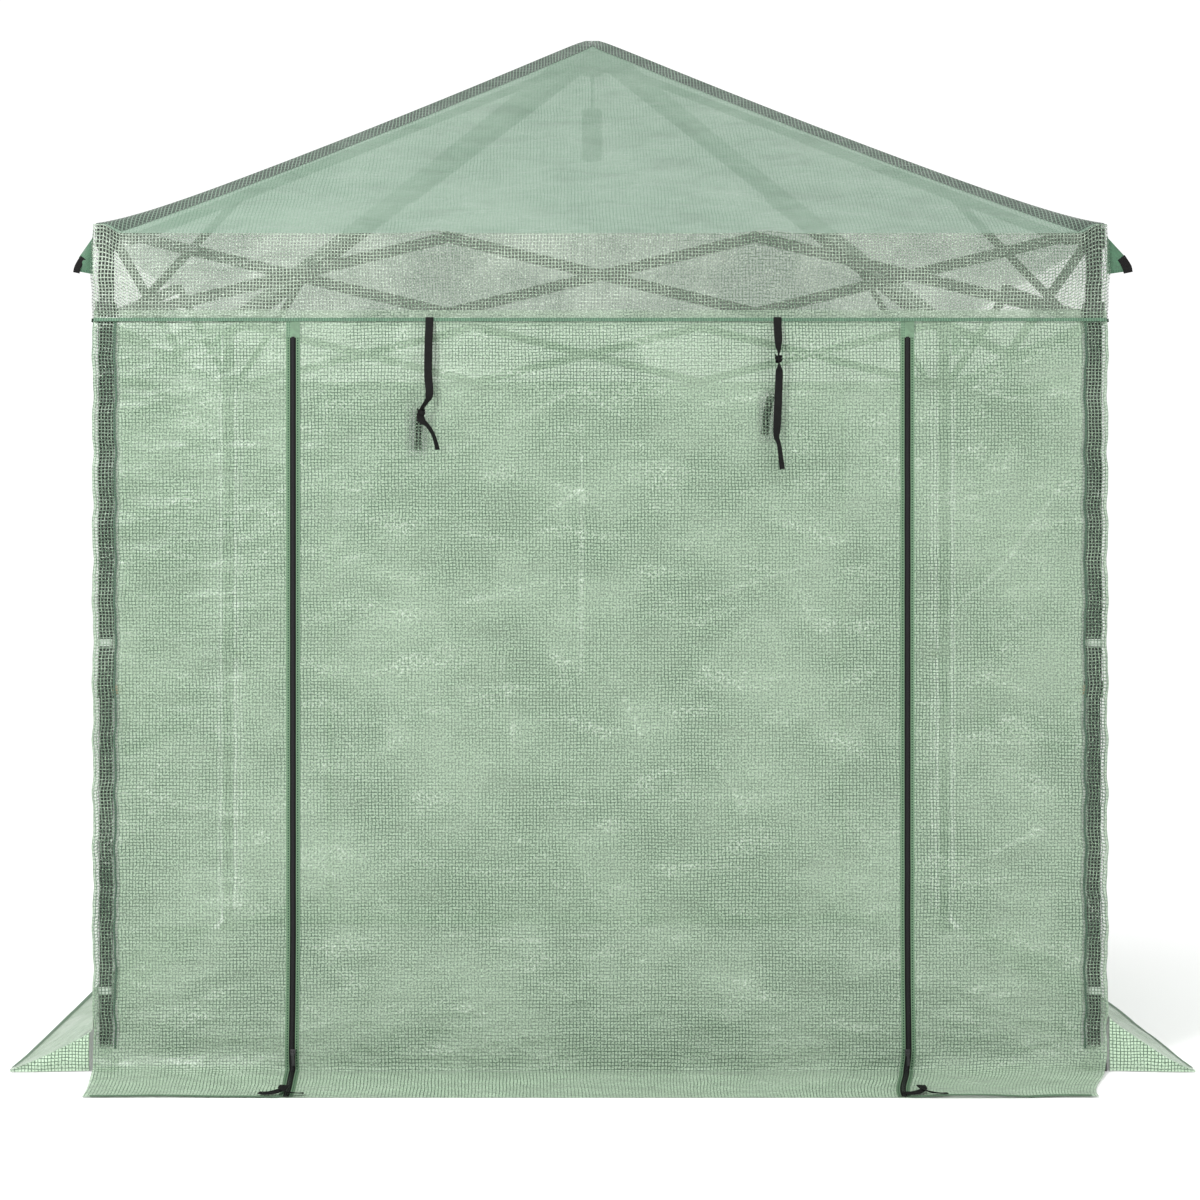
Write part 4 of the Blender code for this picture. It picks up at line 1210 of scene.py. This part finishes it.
# the zip sliders: a waisted body over the coil, a bridge, and a pull
for sign, hand in HANDS:
    low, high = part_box(f"zip_slider_{hand}")
    x, y, top, base = (low.x + high.x) / 2, high.y - 0.004, high.z, low.z
    long = min(0.016, top - base)
    parts = []
    for name, centre, size, square in (
        ("body", (x, y - 0.0020, top - long / 2), (0.0120, 0.0052, long), 4.0),
        ("nose_left", (x - 0.0038, y - 0.0020, top - 0.003), (0.0056, 0.0050, 0.0062), 2.6),
        ("nose_right", (x + 0.0038, y - 0.0020, top - 0.003), (0.0056, 0.0050, 0.0062), 2.6),
        ("bridge", (x, y - 0.0056, top - long * 0.45), (0.0034, 0.0040, long * 0.72), 3.0),
    ):
        parts.append(ball(f"zip_puller_{hand}_{name}", centre, size, ZIP_METAL, square))
    pull, _ = ribbon(
        f"zip_puller_{hand}_tab",
        [
            (x, y - 0.0068, top - long * 0.50),
            (x, y - 0.0072, top - long * 0.80),
            (x + 0.001, y - 0.0060, (top - long + base) / 2),
            (x + 0.001, y - 0.0055, base + 0.001),
        ],
        0.0070,
        0.0016,
        ZIP_METAL,
        facing=(0, -1, 0),
        step=0.002,
    )
    parts.append(pull)
    for part in parts:
        gather(part, "front", f"zip_slider_{hand}")
    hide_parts(f"zip_slider_{hand}")

# loose zip ends on the skirt
for sign, hand in HANDS:
    x = sign * ZIP_X
    front_edge = FRONT_Y - SKIRT_DEEP
    cord_paths = [
        [
            (x + 0.006, front_edge + 0.052, 0.012),
            (x + 0.004, front_edge + 0.025, 0.013),
            (x - 0.012, front_edge + 0.006, 0.011),
            (x - 0.032, front_edge + 0.002, 0.009),
            (x - 0.050, front_edge + 0.010, 0.008),
        ],
        [
            (x - 0.004, front_edge + 0.050, 0.013),
            (x - 0.002, front_edge + 0.020, 0.014),
            (x + 0.014, front_edge + 0.004, 0.011),
            (x + 0.036, front_edge + 0.003, 0.009),
            (x + 0.052, front_edge + 0.006, 0.008),
        ],
    ]
    for k, path in enumerate(cord_paths):
        made, long = ribbon(
            f"zip_end_{hand}_{k + 1}", path, 0.012, 0.0018, WEBBING, facing=(0, 0, 1), turns=[0, 8, 30, 18, 4]
        )
        gather(made, "front")


# level, height of its middle, half the width of the tube inside it
LEG_BANDS = (("upper", 1.020, 0.0166), ("lower", 0.190, 0.0148))
CORNERS = {"front_left": (-1, -1), "front_right": (1, -1), "back_right": (1, 1), "back_left": (-1, 1)}
for corner, (sx, sy) in CORNERS.items():
    x, y = sx * LEG_X, sy * LEG_Y
    button = ball(
        f"snap_button_{corner}",
        (x - sx * 0.030, y + sy * 0.008, COLLAR_Z),
        (0.026, 0.018, 0.024),
        TAN_PLASTIC,
    )
    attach(button, f"leg_{corner}")
    # hook and loop bands that hold the cover to the leg
    for level, z, half in LEG_BANDS:
        loop, r = [], half + 0.0012
        for k in range(33):
            a = 2 * math.pi * k / 32
            cosine, sine = math.cos(a), math.sin(a)
            m = (abs(cosine) ** 6 + abs(sine) ** 6) ** (1 / 6)
            loop.append((x + r * cosine / m, y + r * sine / m, z))
        made, _ = ribbon(
            f"leg_band_{level}_{corner}",
            loop,
            0.018,
            0.0016,
            PALE_BAND,
            facing=(0, 0, 1),
            turns=[90] * len(loop),
            step=0.006,
        )
        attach(made, f"leg_{corner}")
    # the guy tab: a triangular flap of cover with a webbing loop at its point
    away = np.array((sx, sy * 0.10))
    away = away / np.hypot(*away)
    corner_at = np.array((sx * (SIDE_X + 0.0005), sy * (HALF_DEPTH - 0.012)))
    tip, end_wide = (0.034, 0.016) if sx < 0 else (0.044, 0.022)
    grid = []
    for i in range(7):
        share = i / 6
        row = []
        for k in range(9):
            v = k / 8 * 2 - 1
            z = 1.944 - 0.022 * share + v * 0.045 * (1 - 0.62 * share)
            bulge = 0.003 * math.sin(math.pi * share) * (1 - v * v)
            p = corner_at + away * tip * share
            row.append((p[0], p[1] + sy * bulge, z))
        grid.append(row)
    grid = np.array(grid)
    flat = np.stack(np.meshgrid(np.linspace(0, 0.084, 9), np.linspace(0, tip, 7)), axis=-1)
    flap = lattice(f"guy_tab_{corner}", grid, flat, TAB_GREEN)
    end = corner_at + away * tip
    loop = [
        (end[0] - sx * 0.011, end[1], 1.938),
        (end[0] - sx * 0.004, end[1], 1.928),
        (end[0] + sx * 0.003, end[1] + sy * 0.002, 1.914),
        (end[0] + sx * 0.006, end[1], 1.902),
    ]
    cordlet, _ = ribbon(
        f"guy_loop_{corner}", loop, end_wide, 0.0030, WEBBING, facing=(0, sy, 0), turns=[0, 6, -4, 0]
    )
    for made, slot in ((flap, "cover_film"), (cordlet, "black_webbing")):
        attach(made, f"leg_{corner}")


# ---- stage, light and camera ----
def stage_plane(name, size, z, look):
    mesh = bpy.data.meshes.new(name)
    h = size / 2
    mesh.from_pydata([(-h, -h, z), (h, -h, z), (h, h, z), (-h, h, z)], [], [(0, 1, 2, 3)])
    mesh.materials.append(look)
    put_in_scene(name, mesh)


floor_look = Nodes("studio_floor")
floor_tone = floor_look.noise(floor_look.object_place(), 0.6, 2.0)
floor_look.surface("Base Color", floor_look.mix(floor_tone, (0.955, 0.955, 0.955), (0.97, 0.97, 0.97)))
floor_look.surface("Roughness", 0.9)
floor_look.surface("Specular IOR Level", 0.1)
stage_plane("studio_floor", 900.0, 0.0, floor_look.material)

world = bpy.data.worlds.new("studio")
bpy.context.scene.world = world
world.use_nodes = True
world.node_tree.nodes["Background"].inputs["Color"].default_value = (1.0, 1.0, 1.0, 1)
world.node_tree.nodes["Background"].inputs["Strength"].default_value = 1.08


def soft_light(name, place, target, size, power):
    data = bpy.data.lights.new(name, "AREA")
    data.shape = "RECTANGLE"
    data.size, data.size_y = size
    data.energy = power
    lamp = put_in_scene(name, data)
    lamp.location = place
    lamp.rotation_euler = (Vector(target) - Vector(place)).to_track_quat("-Z", "Y").to_euler()


soft_light("key", (-3.3, -4.7, 4.4), (0, 0, 1.3), (1.4, 1.4), 318)
soft_light("fill", (4.5, -4.5, 1.8), (0, 0, 1.1), (3.0, 3.0), 90)
soft_light("rim", (0.5, 6.0, 6.5), (0, 0, 1.4), (4.0, 3.0), 60)

camera_data = bpy.data.cameras.new("camera")
camera_data.sensor_width = 36.0
camera_data.lens = 53.5
camera_data.shift_x = 0.0408
camera_data.shift_y = -0.0308
camera_data.clip_end = 200.0
camera = put_in_scene("camera", camera_data)
camera.location = (-0.117, -5.083, 1.210)
camera.rotation_euler = (math.pi / 2, 0, 0)
bpy.context.scene.camera = camera
bpy.context.scene.view_settings.view_transform = "Standard"

bpy.context.view_layer.update()
